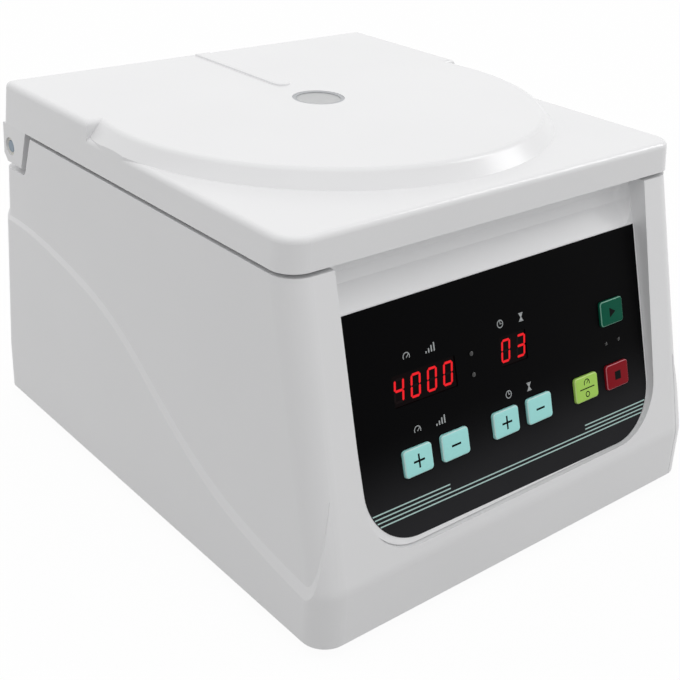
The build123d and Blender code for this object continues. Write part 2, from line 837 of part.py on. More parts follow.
def lid_section(z, inset):
    """Plan outline of the lid at a height, moved in by the inset."""
    rise = z - lid_z
    half = lid_width / 2 - lid_draft * rise - inset
    front = deck_front_y + lid_draft * rise + inset
    rear = rear_wall_y(z) - inset
    face = Pos(0, (front + rear) / 2) * Rectangle(2 * half, rear - front)
    face = fillet(face.vertices().group_by(Axis.Y)[0], lid_corner_radius - inset)
    face = fillet(face.vertices().group_by(Axis.Y)[-1], lid_rear_corner_radius - inset)
    return Pos(0, 0, z) * face


def lid_solid(inset):
    """Lid with its round plateau and rear block, every wall moved in by the inset."""
    low_top = lid_deck_z - inset
    top = lid_top_z - inset
    low = loft([lid_section(lid_z, inset), lid_section(low_top, inset)], ruled=True)
    high = loft([lid_section(lid_z, inset), lid_section(top, inset)], ruled=True)
    if inset == 0:
        low = fillet(low.faces().sort_by(Axis.Z)[-1].edges(), lid_edge_radius)
        high = fillet(high.faces().sort_by(Axis.Z)[-1].edges(), lid_top_radius)
    foot = plateau_foot_radius - inset
    crown = plateau_top_radius - inset
    face = make_face(Polyline((0, lid_z), (foot, lid_z), (foot, low_top), (crown, top), (0, top), close=True))
    rim = face.vertices().filter_by_position(Axis.Y, top - 0.01, top + 0.01).sort_by(Axis.X)[-1]
    disc = chamber * revolve(Plane.XZ * fillet(rim, plateau_edge_radius), Axis.Z)
    block_front = rear_wall_y(lid_z) - rear_block_length + inset
    block = box_between(-lid_width, lid_width, block_front, rear_y, lid_z, top)
    if inset == 0:
        front_edges = block.edges().filter_by(Axis.X).group_by(Axis.Y)[0]
        block = fillet(front_edges.sort_by(Axis.Z)[-1], block_edge_radius)
    return low + (high & disc) + (high & block)


def ear(side):
    """Solid hinge ear that hangs from the rear corner of the lid."""
    points, low, top = ear_outline(0, 0, 0)
    rear = rear_wall_y(low)
    corner = low + ear_corner
    points = points + [(rear_wall_y(top), top), (rear_wall_y(corner), corner), (rear - ear_corner, low)]
    face = make_face(Polyline(*points, close=True))
    inner = lid_width / 2 - ear_width
    block = extrude(Plane(origin=(inner, 0, 0), x_dir=(0, 1, 0), z_dir=(1, 0, 0)) * face, amount=ear_width)
    return block if side > 0 else mirrored(block)


def make_lid_shell():
    body = lid_solid(0)
    shell = body - lid_solid(lid_wall)
    trim = loft([lid_section(lid_z, 0), lid_section(lid_top_z, 0)], ruled=True)
    for side in (-1, 1):
        piece = ear(side)
        lower = piece & box_between(-lid_width, lid_width, 0, rear_y, 0, lid_z)
        shell += lower + (piece & trim)
        hole = cross_rod(pin_radius + pin_clearance + bush_wall, lid_width / 2 - 2 * ear_width,
                         lid_width / 2, pin_y, pin_z)
        shell -= hole if side > 0 else mirrored(hole)
    for x, y in boss_places:
        shell += rod(boss_radius, liner_z + liner_thickness, lid_top_z, x, y) & body
        shell -= rod(liner_screw_radius, liner_z, liner_z + liner_screw_length, x, y)
    top = lid_top_z + spine_height
    back = rear_wall_y(lid_top_z) - lid_top_radius - 1
    front = back - spine_length + spine_width / 2
    spine = box_between(-spine_width / 2, spine_width / 2, front, back, lid_top_z - lid_wall / 2, top)
    spine += rod(spine_width / 2, lid_top_z - lid_wall / 2, top, 0, front)
    shell += fillet(spine.faces().sort_by(Axis.Z)[-1].edges(), spine_edge_radius)
    seat = lid_top_z - window_depth
    shell += chamber * rod(window_radius + lid_wall, seat - lid_wall, lid_top_z - lid_wall / 2)
    shell -= chamber * rod(window_radius - window_rim, seat - lid_wall, lid_top_z)
    shell -= chamber * rod(window_radius, seat, lid_top_z)
    return shell


def make_lid_liner():
    """Flat liner that closes the lid from below and meets the chamber's seal."""
    z0 = liner_z
    z1 = z0 + liner_thickness
    outline = lid_section(lid_z, lid_wall + liner_gap)
    plate = Pos(0, 0, z0 - lid_z) * extrude(outline, amount=liner_thickness)
    outer = lid_width / 2
    ear_front_y = ear_outline(liner_gap, 0, 0)[0][1][0]
    notch = box_between(outer - ear_width - liner_gap, outer, ear_front_y, rear_y, z0, z1)
    plate -= notch + mirrored(notch)
    plate -= chamber * rod(window_radius + lid_wall + liner_gap, z0, z1)
    for x, y in boss_places:
        plate -= rod(liner_screw_radius + screw_gap, z0, z1, x, y)
        sink = Cone(liner_screw_head + screw_gap, liner_screw_radius, liner_thickness)
        plate -= Pos(x, y, z0 + liner_thickness / 2) * sink
    return plate


def make_lid_screws():
    """Countersunk screws of the liner."""
    screws = Part()
    middle = liner_z + liner_thickness / 2
    shank = liner_screw_radius - pin_clearance
    for x, y in boss_places:
        head = Pos(x, y, middle) * Cone(liner_screw_head, shank, liner_thickness)
        screws += head + rod(shank, middle, liner_z + liner_screw_length - pin_hole_gap, x, y)
    return screws


def make_window_ring():
    """Rim that seats the lens in the lid."""
    z0 = lid_top_z - window_depth
    ring = rod(window_radius - lens_gap, z0, lid_top_z - window_recess)
    ring -= rod(window_radius - window_rim - lens_grip, z0, lid_top_z)
    ring -= rod(window_radius - window_rim + lens_gap, z0 + lens_lift, z0 + lens_lift + lens_thickness)
    return chamber * ring


def make_window_lens():
    """Clear lens held in the groove of its rim."""
    z0 = lid_top_z - window_depth + lens_lift + lens_gap
    return chamber * rod(window_radius - window_rim, z0, z0 + lens_thickness - 2 * lens_gap)


def make_lid_hook():
    """Steel hook under the lid: a foot plate and a tongue with a window for the bolt."""
    y0 = hook_y - hook_width / 2
    y1 = hook_y + hook_width / 2
    half = hook_thickness / 2
    foot = box_between(-hook_foot, hook_foot, y0, y1, liner_z - hook_foot_thickness, liner_z)
    tongue = box_between(-half, half, y0, y1, liner_z - hook_length, liner_z)
    tongue = chamfer(tongue.edges().filter_by(Axis.X).group_by(Axis.Z)[0], hook_chamfer)
    tongue -= Pos(0, hook_y, bolt_z) * Box(2 * hook_thickness, hook_window, hook_window)
    return foot + tongue


def make_lock_bolt():
    """Lock bolt with its plunger head, drawn clear of the hook at rest."""
    end = bolt_tip_x + bolt_length
    bolt = cross_rod(bolt_radius, bolt_tip_x, end, hook_y, bolt_z)
    bolt = chamfer(bolt.edges().group_by(Axis.X)[0], bolt_chamfer)
    return bolt + cross_rod(bolt_head_radius, end - bolt_head_length, end, hook_y, bolt_z)


def make_lock_solenoid():
    """Solenoid coil in its frame, round the bolt's plunger."""
    x0 = solenoid_x
    x1 = x0 + solenoid_length
    half = solenoid_size / 2
    t = solenoid_frame
    frame = box_between(x0, x1, hook_y - half, hook_y + half, bolt_z - half, bolt_z + half)
    frame -= box_between(x0 + t, x1 - t, hook_y - half, hook_y + half, bolt_z - half + t, bolt_z + half - t)
    coil = cross_rod(half - t - coil_gap, x0 + t, x1 - t, hook_y, bolt_z)
    return (frame + coil) - cross_rod(bolt_radius + bolt_clearance, x0, x1, hook_y, bolt_z)


def make_lock_bracket():
    """Bracket under the deck that guides the bolt and carries the solenoid."""
    t = solenoid_frame
    half = solenoid_size / 2
    left = -hook_thickness / 2 - hook_slot_gap - 2 * t
    floor = bolt_z - half
    bracket = box_between(left, solenoid_x + solenoid_length, hook_y - half, hook_y + half, floor - t, floor)
    for x in (left, solenoid_x - 2 * t):
        bracket += box_between(x, x + t, hook_y - half, hook_y + half, floor - t, deck_z - wall)
    bracket -= cross_rod(bolt_radius + bolt_clearance, left, solenoid_x, hook_y, bolt_z)
    slot_y = hook_width / 2 + hook_slot_gap
    bracket -= box_between(-hook_thickness, hook_thickness, hook_y - slot_y, hook_y + slot_y, floor - t, floor)
    return bracket


def make_hinge_pin(side):
    inner = lid_width / 2 - ear_width - pin_inner_reach / 2
    outer = lid_width / 2 - pin_recess
    pin = cross_rod(pin_radius, inner, outer, pin_y, pin_z)
    pin = chamfer(pin.edges().group_by(Axis.X)[-1], pin_chamfer)
    return pin if side > 0 else mirrored(pin)


def make_hinge_bush(side):
    """Flanged bush in the ear, running on the pin."""
    inner = lid_width / 2 - ear_width
    outer = lid_width / 2 - pin_recess - pin_chamfer
    r = pin_radius + pin_clearance
    bush = cross_rod(r + bush_wall, inner, outer, pin_y, pin_z)
    bush += cross_rod(r + 2 * bush_wall, inner - bush_flange, inner, pin_y, pin_z)
    bush -= cross_rod(r, inner - bush_flange, outer, pin_y, pin_z)
    return bush if side > 0 else mirrored(bush)


def make_hinge_bracket(side):
    """Steel angle behind the notch that grips the hinge pin, cut to the raked rear wall."""
    x1 = lid_width / 2 - ear_width - ear_side_gap - wall
    low = pin_z - bracket_drop
    high = deck_z - wall
    front = pin_y - bracket_reach
    clear = wall * math.hypot(1, rear_slope) + base_gap
    outline = [(front, low), (rear_wall_y(low) - clear, low), (rear_wall_y(high) - clear, high), (front, high)]
    face = make_face(Polyline(*outline, close=True))
    base = Plane(origin=(x1 - bracket_thickness, 0, 0), x_dir=(0, 1, 0), z_dir=(1, 0, 0))
    bracket = extrude(base * face, amount=bracket_thickness)
    bracket += box_between(x1 - bracket_width, x1, front, front + bracket_thickness, low, high)
    bracket -= cross_rod(pin_radius, x1 - bracket_width, x1, pin_y, pin_z)
    return bracket if side > 0 else mirrored(bracket)


def make_panel_plate():
    """Dark operating panel with openings for the keys, displays and lamps."""
    sketch = Pos(0, panel_length / 2) * Rectangle(panel_width, panel_length)
    sketch = fillet(sketch.vertices().group_by(Axis.Y)[0], panel_corner_radius)
    for x, y in key_places.values():
        sketch -= Pos(x, y) * RectangleRounded(key_width + 2 * key_gap, key_height + 2 * key_gap,
                                               key_corner_radius + key_gap)
    for x, digits in display_places.values():
        sketch -= Pos(x, high_row) * Rectangle(display_width(digits) + 2 * key_gap, display_height + 2 * key_gap)
    for x, y in lamp_places:
        sketch -= Pos(x, y) * Circle(lamp_radius + lens_gap)
    return extrude(on_panel(panel_thickness) * sketch, amount=panel_thickness)


def display_width(digits):
    return digits * digit_pitch - display_margin


def make_key(x, y):
    """Key cap with a retaining flange and a stem to its switch."""
    under = -panel_thickness - key_gap
    outline = RectangleRounded(key_width, key_height, key_corner_radius)
    cap = extrude(Pos(0, 0, under) * outline, amount=key_proud - under)
    cap = fillet(cap.faces().sort_by(Axis.Z)[-1].edges(), key_edge_radius)
    cap += Pos(0, 0, under - key_flange / 2) * Box(key_width + 2 * key_flange, key_height + 2 * key_flange,
                                                   key_flange)
    stem_end = -board_depth + switch_height + switch_button_height + key_travel + key_gap
    stem = under - stem_end
    cap += Pos(0, 0, stem_end + stem / 2) * Cylinder(key_stem_radius, stem)
    return panel_plane * Pos(x, y, 0) * cap


def make_key_switches():
    """Push switches on the panel board, one under each key."""
    body = Pos(0, 0, switch_height / 2) * Box(switch_size, switch_size, switch_height)
    body += Pos(0, 0, switch_height + switch_button_height / 2) * Cylinder(key_stem_radius, switch_button_height)
    switches = Part()
    for x, y in key_places.values():
        switches += panel_plane * Pos(x, y, -board_depth) * body
    return switches


def make_display(x, digits):
    """Digit display: a slab that fills its window and a header down to the board."""
    width = display_width(digits)
    back = -display_recess - display_depth
    slab = Pos(0, 0, back + display_depth / 2) * Box(width, display_height, display_depth)
    header = Pos(0, 0, (back - board_depth) / 2) * Box(width - digit_pitch / 2, display_height / 2,
                                                       board_depth + back)
    return panel_plane * Pos(x, high_row, 0) * (slab + header)


def make_lamps():
    """Small indicator lamps on the panel board."""
    length = board_depth - 2 * display_recess
    lamp = Pos(0, 0, length / 2 - board_depth) * Cylinder(lamp_radius, length)
    lamps = Part()
    for x, y in lamp_places:
        lamps += panel_plane * Pos(x, y, 0) * lamp
    return lamps


def make_panel_board():
    """Circuit board behind the panel that carries the displays and switches."""
    sketch = Pos(0, (board_low + board_high) / 2) * Rectangle(board_width, board_high - board_low)
    for x, y in standoff_places:
        sketch -= Pos(x, y) * Circle(standoff_radius / 2)
    return extrude(on_panel(board_depth + board_thickness) * sketch, amount=board_thickness)


def make_board_standoffs():
    """Spacers between the housing's front wall and the panel board."""
    spacers = Part()
    ring = Circle(standoff_radius) - Circle(standoff_radius / 2)
    for x, y in standoff_places:
        spacers += extrude(on_panel(board_depth) * Pos(x, y) * ring, amount=board_depth - panel_thickness - wall)
    return spacers


def make_power_inlet():
    """Appliance inlet with three pins in its socket and two screw holes in its flange."""
    t = inlet_flange_thickness
    deep = inlet_depth - t
    inlet = Pos(0, t / 2, 0) * Box(inlet_flange_width, t, inlet_flange_height)
    inlet += Pos(0, -inlet_depth / 2, 0) * Box(inlet_width, inlet_depth, inlet_height)
    inlet -= Pos(0, t - deep / 2, 0) * Box(inlet_width - 2 * inlet_wall, deep, inlet_height - 2 * inlet_wall)
    for x, z in inlet_pins:
        pin = Box(inlet_pin_width, inlet_pin_length, inlet_pin_height)
        inlet += Pos(x, t - deep + inlet_pin_length / 2, z) * pin
    for x in (-inlet_screw_x, inlet_screw_x):
        inlet -= Pos(x, t / 2, 0) * Rot(90, 0, 0) * Cylinder(screw_radius, t)
    return inlet_place * inlet


def make_switch_frame():
    """Frame of the power switch, with holes for the rocker's pivots."""
    t = switch_flange_thickness
    w = switch_frame_width
    h = switch_frame_height
    deep = switch_frame_depth - switch_frame_wall
    frame = Pos(0, t / 2, 0) * Box(switch_flange_width, t, switch_flange_height)
    frame += Pos(0, -switch_frame_depth / 2, 0) * Box(w, switch_frame_depth, h)
    frame -= Pos(0, (t - deep) / 2, 0) * Box(w - 2 * switch_frame_wall, deep + t, h - 2 * switch_frame_wall)
    frame -= Pos(0, -rocker_set_back, 0) * Cylinder(rocker_pin_radius + pin_clearance, h)
    return power_switch_place * frame


def make_power_rocker():
    """Rocker of the power switch on a cross pin, tilted to one side at rest."""
    half = switch_frame_width / 2 - switch_frame_wall - rocker_swing_gap
    arc = ThreePointArc((-half, rocker_high), (0, rocker_low - rocker_dip), (half, rocker_low))
    foot = Polyline((half, rocker_low), (rocker_foot, -rocker_waist), (0, -rocker_depth),
                    (-rocker_foot, -rocker_waist), (-half, rocker_high))
    height = switch_frame_height - 2 * (switch_frame_wall + rocker_gap)
    rocker = extrude(make_face(Curve() + [arc, foot]), amount=height / 2, both=True)
    rocker += Cylinder(rocker_pin_radius, switch_frame_height - rocker_gap)
    return power_switch_place * Pos(0, -rocker_set_back, 0) * rocker


def make_control_board():
    """Motor control board with its finned heat sink and two capacitors, on four spacers."""
    top = control_spacer + board_thickness
    parts = Pos(0, 0, control_spacer + board_thickness / 2) * Box(control_length, control_width, board_thickness)
    for x in (-control_spacer_x, control_spacer_x):
        for y in (-control_spacer_y, control_spacer_y):
            parts += rod(standoff_radius, 0, control_spacer, x, y)
    high = top + sink_height
    plate = box_between(sink_x, sink_x + sink_plate, -sink_length / 2, sink_length / 2, top, high)
    for i in range(sink_fins):
        y = (i - (sink_fins - 1) / 2) * sink_fin_pitch
        plate += box_between(sink_x, sink_x + sink_width, y - sink_fin / 2, y + sink_fin / 2, top, high)
    for x in capacitor_places:
        plate += rod(capacitor_radius, top, top + capacitor_height, x, capacitor_radius)
    return Pos(control_x, electrics_y, base_top_z) * (parts + plate)


def make_transformer():
    """Mains transformer on its clamp feet."""
    middle = transformer_lift + core_height / 2
    core = Pos(0, 0, middle) * Box(core_length, core_width, core_height)
    coil = Pos(0, 0, middle) * Box(coil_length, coil_width, coil_height)
    feet = Pos(0, 0, transformer_lift / 2) * Box(clamp_length, core_width, transformer_lift)
    return Pos(transformer_x, electrics_y, base_top_z) * (core + coil + feet)


def make_parts():
    parts = {
        "housing_shell": make_housing_shell(),
        "base_plate": make_base_plate(),
        "foot_screws": make_foot_screws(),
        "chamber_bowl": make_chamber_bowl(),
        "chamber_seal": make_chamber_seal(),
        "guard_barrel": make_guard_barrel(),
        "motor_plate": make_motor_plate(),
        "motor_lower_cap": make_motor_cap(True),
        "motor_upper_cap": make_motor_cap(False),
        "motor_can": make_motor_can(),
        "motor_stator": make_motor_stator(),
        "motor_armature": make_armature(),
        "bearing_lower": make_bearing(True),
        "bearing_upper": make_bearing(False),
        "spindle": make_spindle(),
        "spindle_seal": make_spindle_seal(),
        "rotor": make_rotor(),
        "rotor_nut": make_rotor_nut(),
        "tube_sleeves": make_tube_sleeves(),
        "lid_shell": make_lid_shell(),
        "lid_liner": make_lid_liner(),
        "lid_screws": make_lid_screws(),
        "window_ring": make_window_ring(),
        "window_lens": make_window_lens(),
        "lid_hook": make_lid_hook(),
        "lock_bolt": make_lock_bolt(),
        "lock_solenoid": make_lock_solenoid(),
        "lock_bracket": make_lock_bracket(),
        "panel_plate": make_panel_plate(),
        "panel_board": make_panel_board(),
        "board_standoffs": make_board_standoffs(),
        "key_switches": make_key_switches(),
        "indicator_lamps": make_lamps(),
        "power_inlet": make_power_inlet(),
        "power_switch_frame": make_switch_frame(),
        "power_rocker": make_power_rocker(),
        "control_board": make_control_board(),
        "transformer": make_transformer(),
    }
    for name, (x, digits) in display_places.items():
        parts["display_" + name] = make_display(x, digits)
    for name, (x, y) in key_places.items():
        parts["key_" + name] = make_key(x, y)
    for side, hand in ((-1, "left"), (1, "right")):
        parts["hinge_pin_" + hand] = make_hinge_pin(side)
        parts["hinge_bush_" + hand] = make_hinge_bush(side)
        parts["hinge_bracket_" + hand] = make_hinge_bracket(side)
        for end, place in (("front", -1), ("rear", 1)):
            parts["foot_" + end + "_" + hand] = make_foot(side * foot_x, place * foot_y)
    for index, angle in enumerate(damper_angles, start=1):
        parts["motor_damper_" + str(index)] = make_damper(angle)
    return parts


os.makedirs("parts", exist_ok=True)
for name, part in make_parts().items():
    export_step(part, os.path.join("parts", name + ".step"))
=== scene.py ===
# %% [markdown]
# A benchtop centrifuge, dressed for its portrait.
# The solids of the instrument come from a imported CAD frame, in metres, with the origin on the table under the
# middle of the housing: X to the user's right, Y to the rear, Z up. This lesson keeps the CAD shells that already
# have the right shape, gives every one of them the finish of its real material, and models the small things that
# the eye looks for: key caps, lit digits, printed marks.

# %% Load the frame
import math

import bmesh
import bpy
from mathutils import Euler, Matrix, Vector


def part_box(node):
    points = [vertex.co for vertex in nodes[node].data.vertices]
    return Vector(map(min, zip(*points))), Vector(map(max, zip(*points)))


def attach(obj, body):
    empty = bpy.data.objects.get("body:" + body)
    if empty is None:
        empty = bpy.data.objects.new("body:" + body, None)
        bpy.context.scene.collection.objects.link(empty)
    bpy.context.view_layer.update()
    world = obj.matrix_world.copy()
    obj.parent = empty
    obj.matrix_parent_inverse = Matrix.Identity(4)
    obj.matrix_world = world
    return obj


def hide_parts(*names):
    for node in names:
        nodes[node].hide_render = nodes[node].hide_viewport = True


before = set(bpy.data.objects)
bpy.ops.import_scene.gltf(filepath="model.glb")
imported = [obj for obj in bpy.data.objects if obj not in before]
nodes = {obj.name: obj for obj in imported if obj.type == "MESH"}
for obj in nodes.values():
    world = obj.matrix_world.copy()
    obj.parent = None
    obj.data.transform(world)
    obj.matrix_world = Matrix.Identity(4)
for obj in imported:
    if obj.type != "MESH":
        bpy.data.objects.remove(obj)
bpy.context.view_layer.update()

MM = 0.001

# %% [markdown]
# The camera comes first, because everything else is judged through it. Its place and lens were solved from the
# straight edges of the instrument in the photograph: a short telephoto lens, about 0.8 metres away, above the front
# left corner and leaning by two degrees.

# %% Camera at the photograph's view
camera_data = bpy.data.cameras.new("camera")
camera_data.sensor_fit = "HORIZONTAL"
camera_data.sensor_width = 36.0
camera_data.lens = 62.01
camera_data.clip_start = 0.01
camera = bpy.data.objects.new("camera", camera_data)
camera.location = (-0.45674, -0.54915, 0.43044)
camera.rotation_euler = Euler([math.radians(a) for a in (63.2753, -1.9979, -39.0803)], "XYZ")
bpy.context.scene.collection.objects.link(camera)
bpy.context.scene.camera = camera
bpy.context.scene.view_settings.view_transform = "Standard"

# %% [markdown]
# Colours are written the way a designer reads them, as sRGB hex codes, and one function turns them into the linear
# values that a shader works with. A second small function adds a node, sets it and links it, which keeps each
# material readable as a recipe.

# %% Colour and node helpers
def linear(code, alpha=1.0):
    """sRGB hex code to linear RGBA."""
    parts = [int(code[i:i + 2], 16) / 255 for i in (1, 3, 5)]
    parts = [p / 12.92 if p <= 0.04045 else ((p + 0.055) / 1.055) ** 2.4 for p in parts]
    return (*parts, alpha)


def socket(sockets, key):
    """A node's socket by its place, or by the name that shows on the node."""
    if isinstance(key, int):
        return sockets[key]
    return next(s for s in sockets if s.name == key and s.enabled)


def add(tree, kind, inputs=None, **settings):
    """Adds a node, sets its properties, and fills its inputs with values or links."""
    made = tree.nodes.new(kind)
    for name, value in settings.items():
        setattr(made, name, value)
    for key, value in (inputs or {}).items():
        if isinstance(value, bpy.types.NodeSocket):
            tree.links.new(value, socket(made.inputs, key))
        else:
            socket(made.inputs, key).default_value = value
    return made


def start_material(name, **values):
    """A material with a Principled shader whose sockets hold the given values."""
    material = bpy.data.materials.new(name)
    material.use_nodes = True
    tree = material.node_tree
    tree.nodes.clear()
    shader = add(tree, "ShaderNodeBsdfPrincipled", {key.replace("_", " "): value for key, value in values.items()})
    add(tree, "ShaderNodeOutputMaterial", {"Surface": shader.outputs["BSDF"]})
    place = add(tree, "ShaderNodeTexCoord").outputs["Object"]
    return material, tree, shader, place


def drift_colour(tree, shader, place, code, drift, drift_mm):
    """Lets a colour drift slowly over the surface, around its written tone."""
    colour = linear(code)
    darker = tuple(c * (1 - drift) for c in colour[:3]) + (1.0,)
    lighter = tuple(min(1.0, c * (1 + drift / 2)) for c in colour[:3]) + (1.0,)
    flow = add(tree, "ShaderNodeTexNoise", {"Vector": place, "Scale": 1 / (drift_mm * MM), "Detail": 2.0})
    tone = add(tree, "ShaderNodeMix", {"Factor": flow.outputs["Fac"], "A": darker, "B": lighter}, data_type="RGBA")
    tree.links.new(socket(tone.outputs, "Result"), shader.inputs["Base Color"])


def relief(tree, shader, height, depth_mm):
    """Turns a pattern into a fine relief of the given depth."""
    bump = add(tree, "ShaderNodeBump", {"Height": height, "Distance": depth_mm * MM, "Strength": 1.0})
    tree.links.new(bump.outputs["Normal"], shader.inputs["Normal"])


# %% [markdown]
# The housing and lid of such an instrument are ABS, injection moulded in a steel tool. The tool was spark eroded,
# which leaves a fine even grain that takes the edge off every reflection. Big mouldings also show a slow drift of
# tone where the plastic flowed. A fine noise in the bump gives the first, and a wide one in the colour the second.
# The key caps, feet, bushes and fittings are smaller mouldings, so the same recipe serves them at other values.

# %% Moulded plastic and rubber
def moulding(name, code, roughness, grain_mm, depth_mm, drift=0.03, drift_mm=90.0, sheen=0.5):
    """Moulded plastic or rubber: a slow drift of tone and the grain of the tool."""
    material, tree, shader, place = start_material(name, Roughness=roughness, IOR=1.5, Specular_IOR_Level=sheen)
    drift_colour(tree, shader, place, code, drift, drift_mm)
    grain = add(tree, "ShaderNodeTexNoise", {"Vector": place, "Scale": 1 / (grain_mm * MM), "Detail": 3.0})
    relief(tree, shader, grain.outputs["Fac"], depth_mm)
    return material


housing_abs = moulding("abs_housing_spark_grain", "#EFEFF0", 0.3, 0.9, 0.012)
lid_abs = moulding("abs_lid_satin", "#F0F0F1", 0.24, 1.1, 0.008)
liner_abs = moulding("abs_lid_liner", "#B9BBBE", 0.5, 0.8, 0.02)
sleeve_pp = moulding("polypropylene_sleeve", "#D5D8DA", 0.45, 0.5, 0.01, drift_mm=12.0)
bush_nylon = moulding("nylon_bush", "#DEDDD6", 0.5, 0.4, 0.01, drift_mm=8.0)
fitting_pbt = moulding("pbt_fitting_black", "#17181A", 0.45, 0.5, 0.015, drift=0.2, drift_mm=10.0)
foot_rubber = moulding("nitrile_rubber_black", "#141415", 0.75, 0.6, 0.03, drift=0.25, drift_mm=12.0)
seal_silicone = moulding("silicone_seal_grey", "#54575A", 0.6, 0.6, 0.02, drift_mm=25.0)

# %% [markdown]
# Three metals show when the lid is open: the drawn steel bowl, the cast and turned aluminium rotor, and turned
# steel pins and nut. A metal's look is in its reflections, so the base colour stays plain and the tool marks do the
# work: rings round the turning axis on turned work, and long fine lines on sheet that was brushed or drawn.

# %% Metals
ROTOR_AXIS = (0.0, 0.024, 0.0)
HINGE_AXIS = (0.0, 0.1585, 0.1912)


def turned_metal(name, code, roughness, ring_mm, depth_mm, centre=ROTOR_AXIS, axis="Z"):
    """Metal turned on a lathe: fine rings round an upright or a cross axis."""
    material, tree, shader, place = start_material(name, Roughness=roughness, Metallic=1.0)
    drift_colour(tree, shader, place, code, 0.08, 30.0)
    moved = add(tree, "ShaderNodeMapping", {"Vector": place, "Location": tuple(-c for c in centre)})
    rings = add(tree, "ShaderNodeTexWave", {"Vector": moved.outputs[0], "Scale": 1 / (ring_mm * MM) / math.tau,
                                            "Distortion": 0.6, "Detail": 1.0}, wave_type="RINGS",
                rings_direction=axis)
    relief(tree, shader, rings.outputs["Fac"], depth_mm)
    return material


def sheet_metal(name, code, roughness, stretch, grain_mm, depth_mm):
    """Sheet steel with fine lines along the direction it was worked in."""
    material, tree, shader, place = start_material(name, Roughness=roughness, Metallic=1.0)
    drift_colour(tree, shader, place, code, 0.1, 40.0)
    moved = add(tree, "ShaderNodeMapping", {"Vector": place, "Scale": stretch})
    lines = add(tree, "ShaderNodeTexNoise", {"Vector": moved.outputs[0], "Scale": 1 / (grain_mm * MM), "Detail": 2.0})
    relief(tree, shader, lines.outputs["Fac"], depth_mm)
    return material


rotor_aluminium = turned_metal("turned_aluminium_rotor", "#A7AAAE", 0.36, 1.6, 0.01)
nut_steel = turned_metal("turned_steel_nut", "#8C9196", 0.3, 0.8, 0.006)
pin_steel = turned_metal("turned_steel_pin", "#7E8B97", 0.35, 0.8, 0.006, HINGE_AXIS, "X")
bowl_steel = sheet_metal("drawn_stainless_bowl", "#B4B8BB", 0.34, (1.0, 1.0, 0.04), 0.9, 0.006)
zinc_sheet = sheet_metal("zinc_plated_sheet", "#A5A8A8", 0.42, (0.2, 1.0, 1.0), 1.2, 0.01)

# %% [markdown]
# The operating panel is a polycarbonate film, printed from behind in black and laid over a white plate. Its surface
# is velvet smooth and hardly glossy. Towards its foot its black is painted a little grey, a painted sheen that stands
# in for the reflection of the table. The digit displays behind it have a dark red filter, and the lamps are tinted
# plastic that stays dark when off. The stripes are printed in a pale sea green ink, the signs in grey and the marks
# on the keys in black.

# %% Panel film, filter and inks
# Heights above the table, in metres, between which the painted sheen fades
MOST_SHEEN, NO_SHEEN = 0.046, 0.115
panel_film, tree, shader, place = start_material("printed_polycarbonate_film", Roughness=0.4,
                                                 Specular_IOR_Level=0.02)
# Painted sheen: the film's black is mixed towards a lighter grey near its foot, in place of the table's reflection
height = add(tree, "ShaderNodeSeparateXYZ", {0: place}).outputs["Z"]
painted_sheen = add(tree, "ShaderNodeMapRange", {"Value": height, "From Min": MOST_SHEEN, "From Max": NO_SHEEN, "To Min": 1.0,
                                        "To Max": 0.0}, interpolation_type="SMOOTHERSTEP")
cloud = add(tree, "ShaderNodeTexNoise", {"Vector": place, "Scale": 1 / (40 * MM), "Detail": 3.0})
uneven = add(tree, "ShaderNodeMapRange", {"Value": cloud.outputs["Fac"], "To Min": 0.85, "To Max": 1.15})
amount = add(tree, "ShaderNodeMath", {0: painted_sheen.outputs[0], 1: uneven.outputs[0]}, operation="MULTIPLY")
tone = add(tree, "ShaderNodeMix", {"Factor": amount.outputs[0], "A": linear("#050506"), "B": linear("#2C2C2E")},
           data_type="RGBA")
tree.links.new(socket(tone.outputs, "Result"), shader.inputs["Base Color"])
display_filter = moulding("dark_red_display_filter", "#0D0506", 0.3, 2.0, 0.002, drift=0.2, drift_mm=20.0,
                          sheen=0.03)
lamp_tint = moulding("tinted_lamp_off", "#141213", 0.12, 1.0, 0.002, drift=0.2, drift_mm=5.0, sheen=0.6)
pale_ink = moulding("screen_ink_sea_green", "#B4D2CD", 0.5, 0.5, 0.004, drift_mm=20.0)
grey_ink = moulding("screen_ink_grey", "#A9ADAE", 0.5, 0.5, 0.004, drift_mm=20.0)
dark_ink = moulding("screen_ink_black", "#0A0F0F", 0.5, 0.5, 0.004, drift=0.2, drift_mm=20.0, sheen=0.04)
board_resin = moulding("fibreglass_board_green", "#1D5A3A", 0.4, 0.7, 0.02, drift=0.1, drift_mm=15.0)
# Body of each colour of key, and the paler colour painted on its rim as a highlight
key_tones = {
    "cyan": ("#B0F2EE", "#CBEDEA"),
    "lime": ("#B3DF68", "#C9E68A"),
    "red": ("#8A0E1B", "#B9606A"),
    "green": ("#005741", "#6FA993"),
}
key_plastic = {tone: moulding("moulded_abs_key_" + tone, body, 0.38, 0.8, 0.006, drift_mm=14.0, sheen=0.06)
               for tone, (body, _) in key_tones.items()}
# The rim colours are a painted highlight, lighter than the key's body
rim_highlight = {tone: moulding("painted_highlight_key_rim_" + tone, rim, 0.3, 0.8, 0.004, drift_mm=6.0, sheen=0.3)
               for tone, (_, rim) in key_tones.items()}
lit_segment, _, shader, _ = start_material("lit_segment_red", Roughness=0.4, Emission_Strength=1.0,
                                           Specular_IOR_Level=0.03)
shader.inputs["Base Color"].default_value = linear("#2A0406")
shader.inputs["Emission Color"].default_value = linear("#F0232A")
dark_segment = moulding("unlit_segment", "#120607", 0.3, 1.0, 0.002, drift=0.1, drift_mm=10.0, sheen=0.05)

# %% [markdown]
# The window in the lid is a disc of clear acrylic with a satin back, through which the turning rotor is checked.
# It reads as an even grey. Rough transmission gives that: light passes, but no sharp picture does.

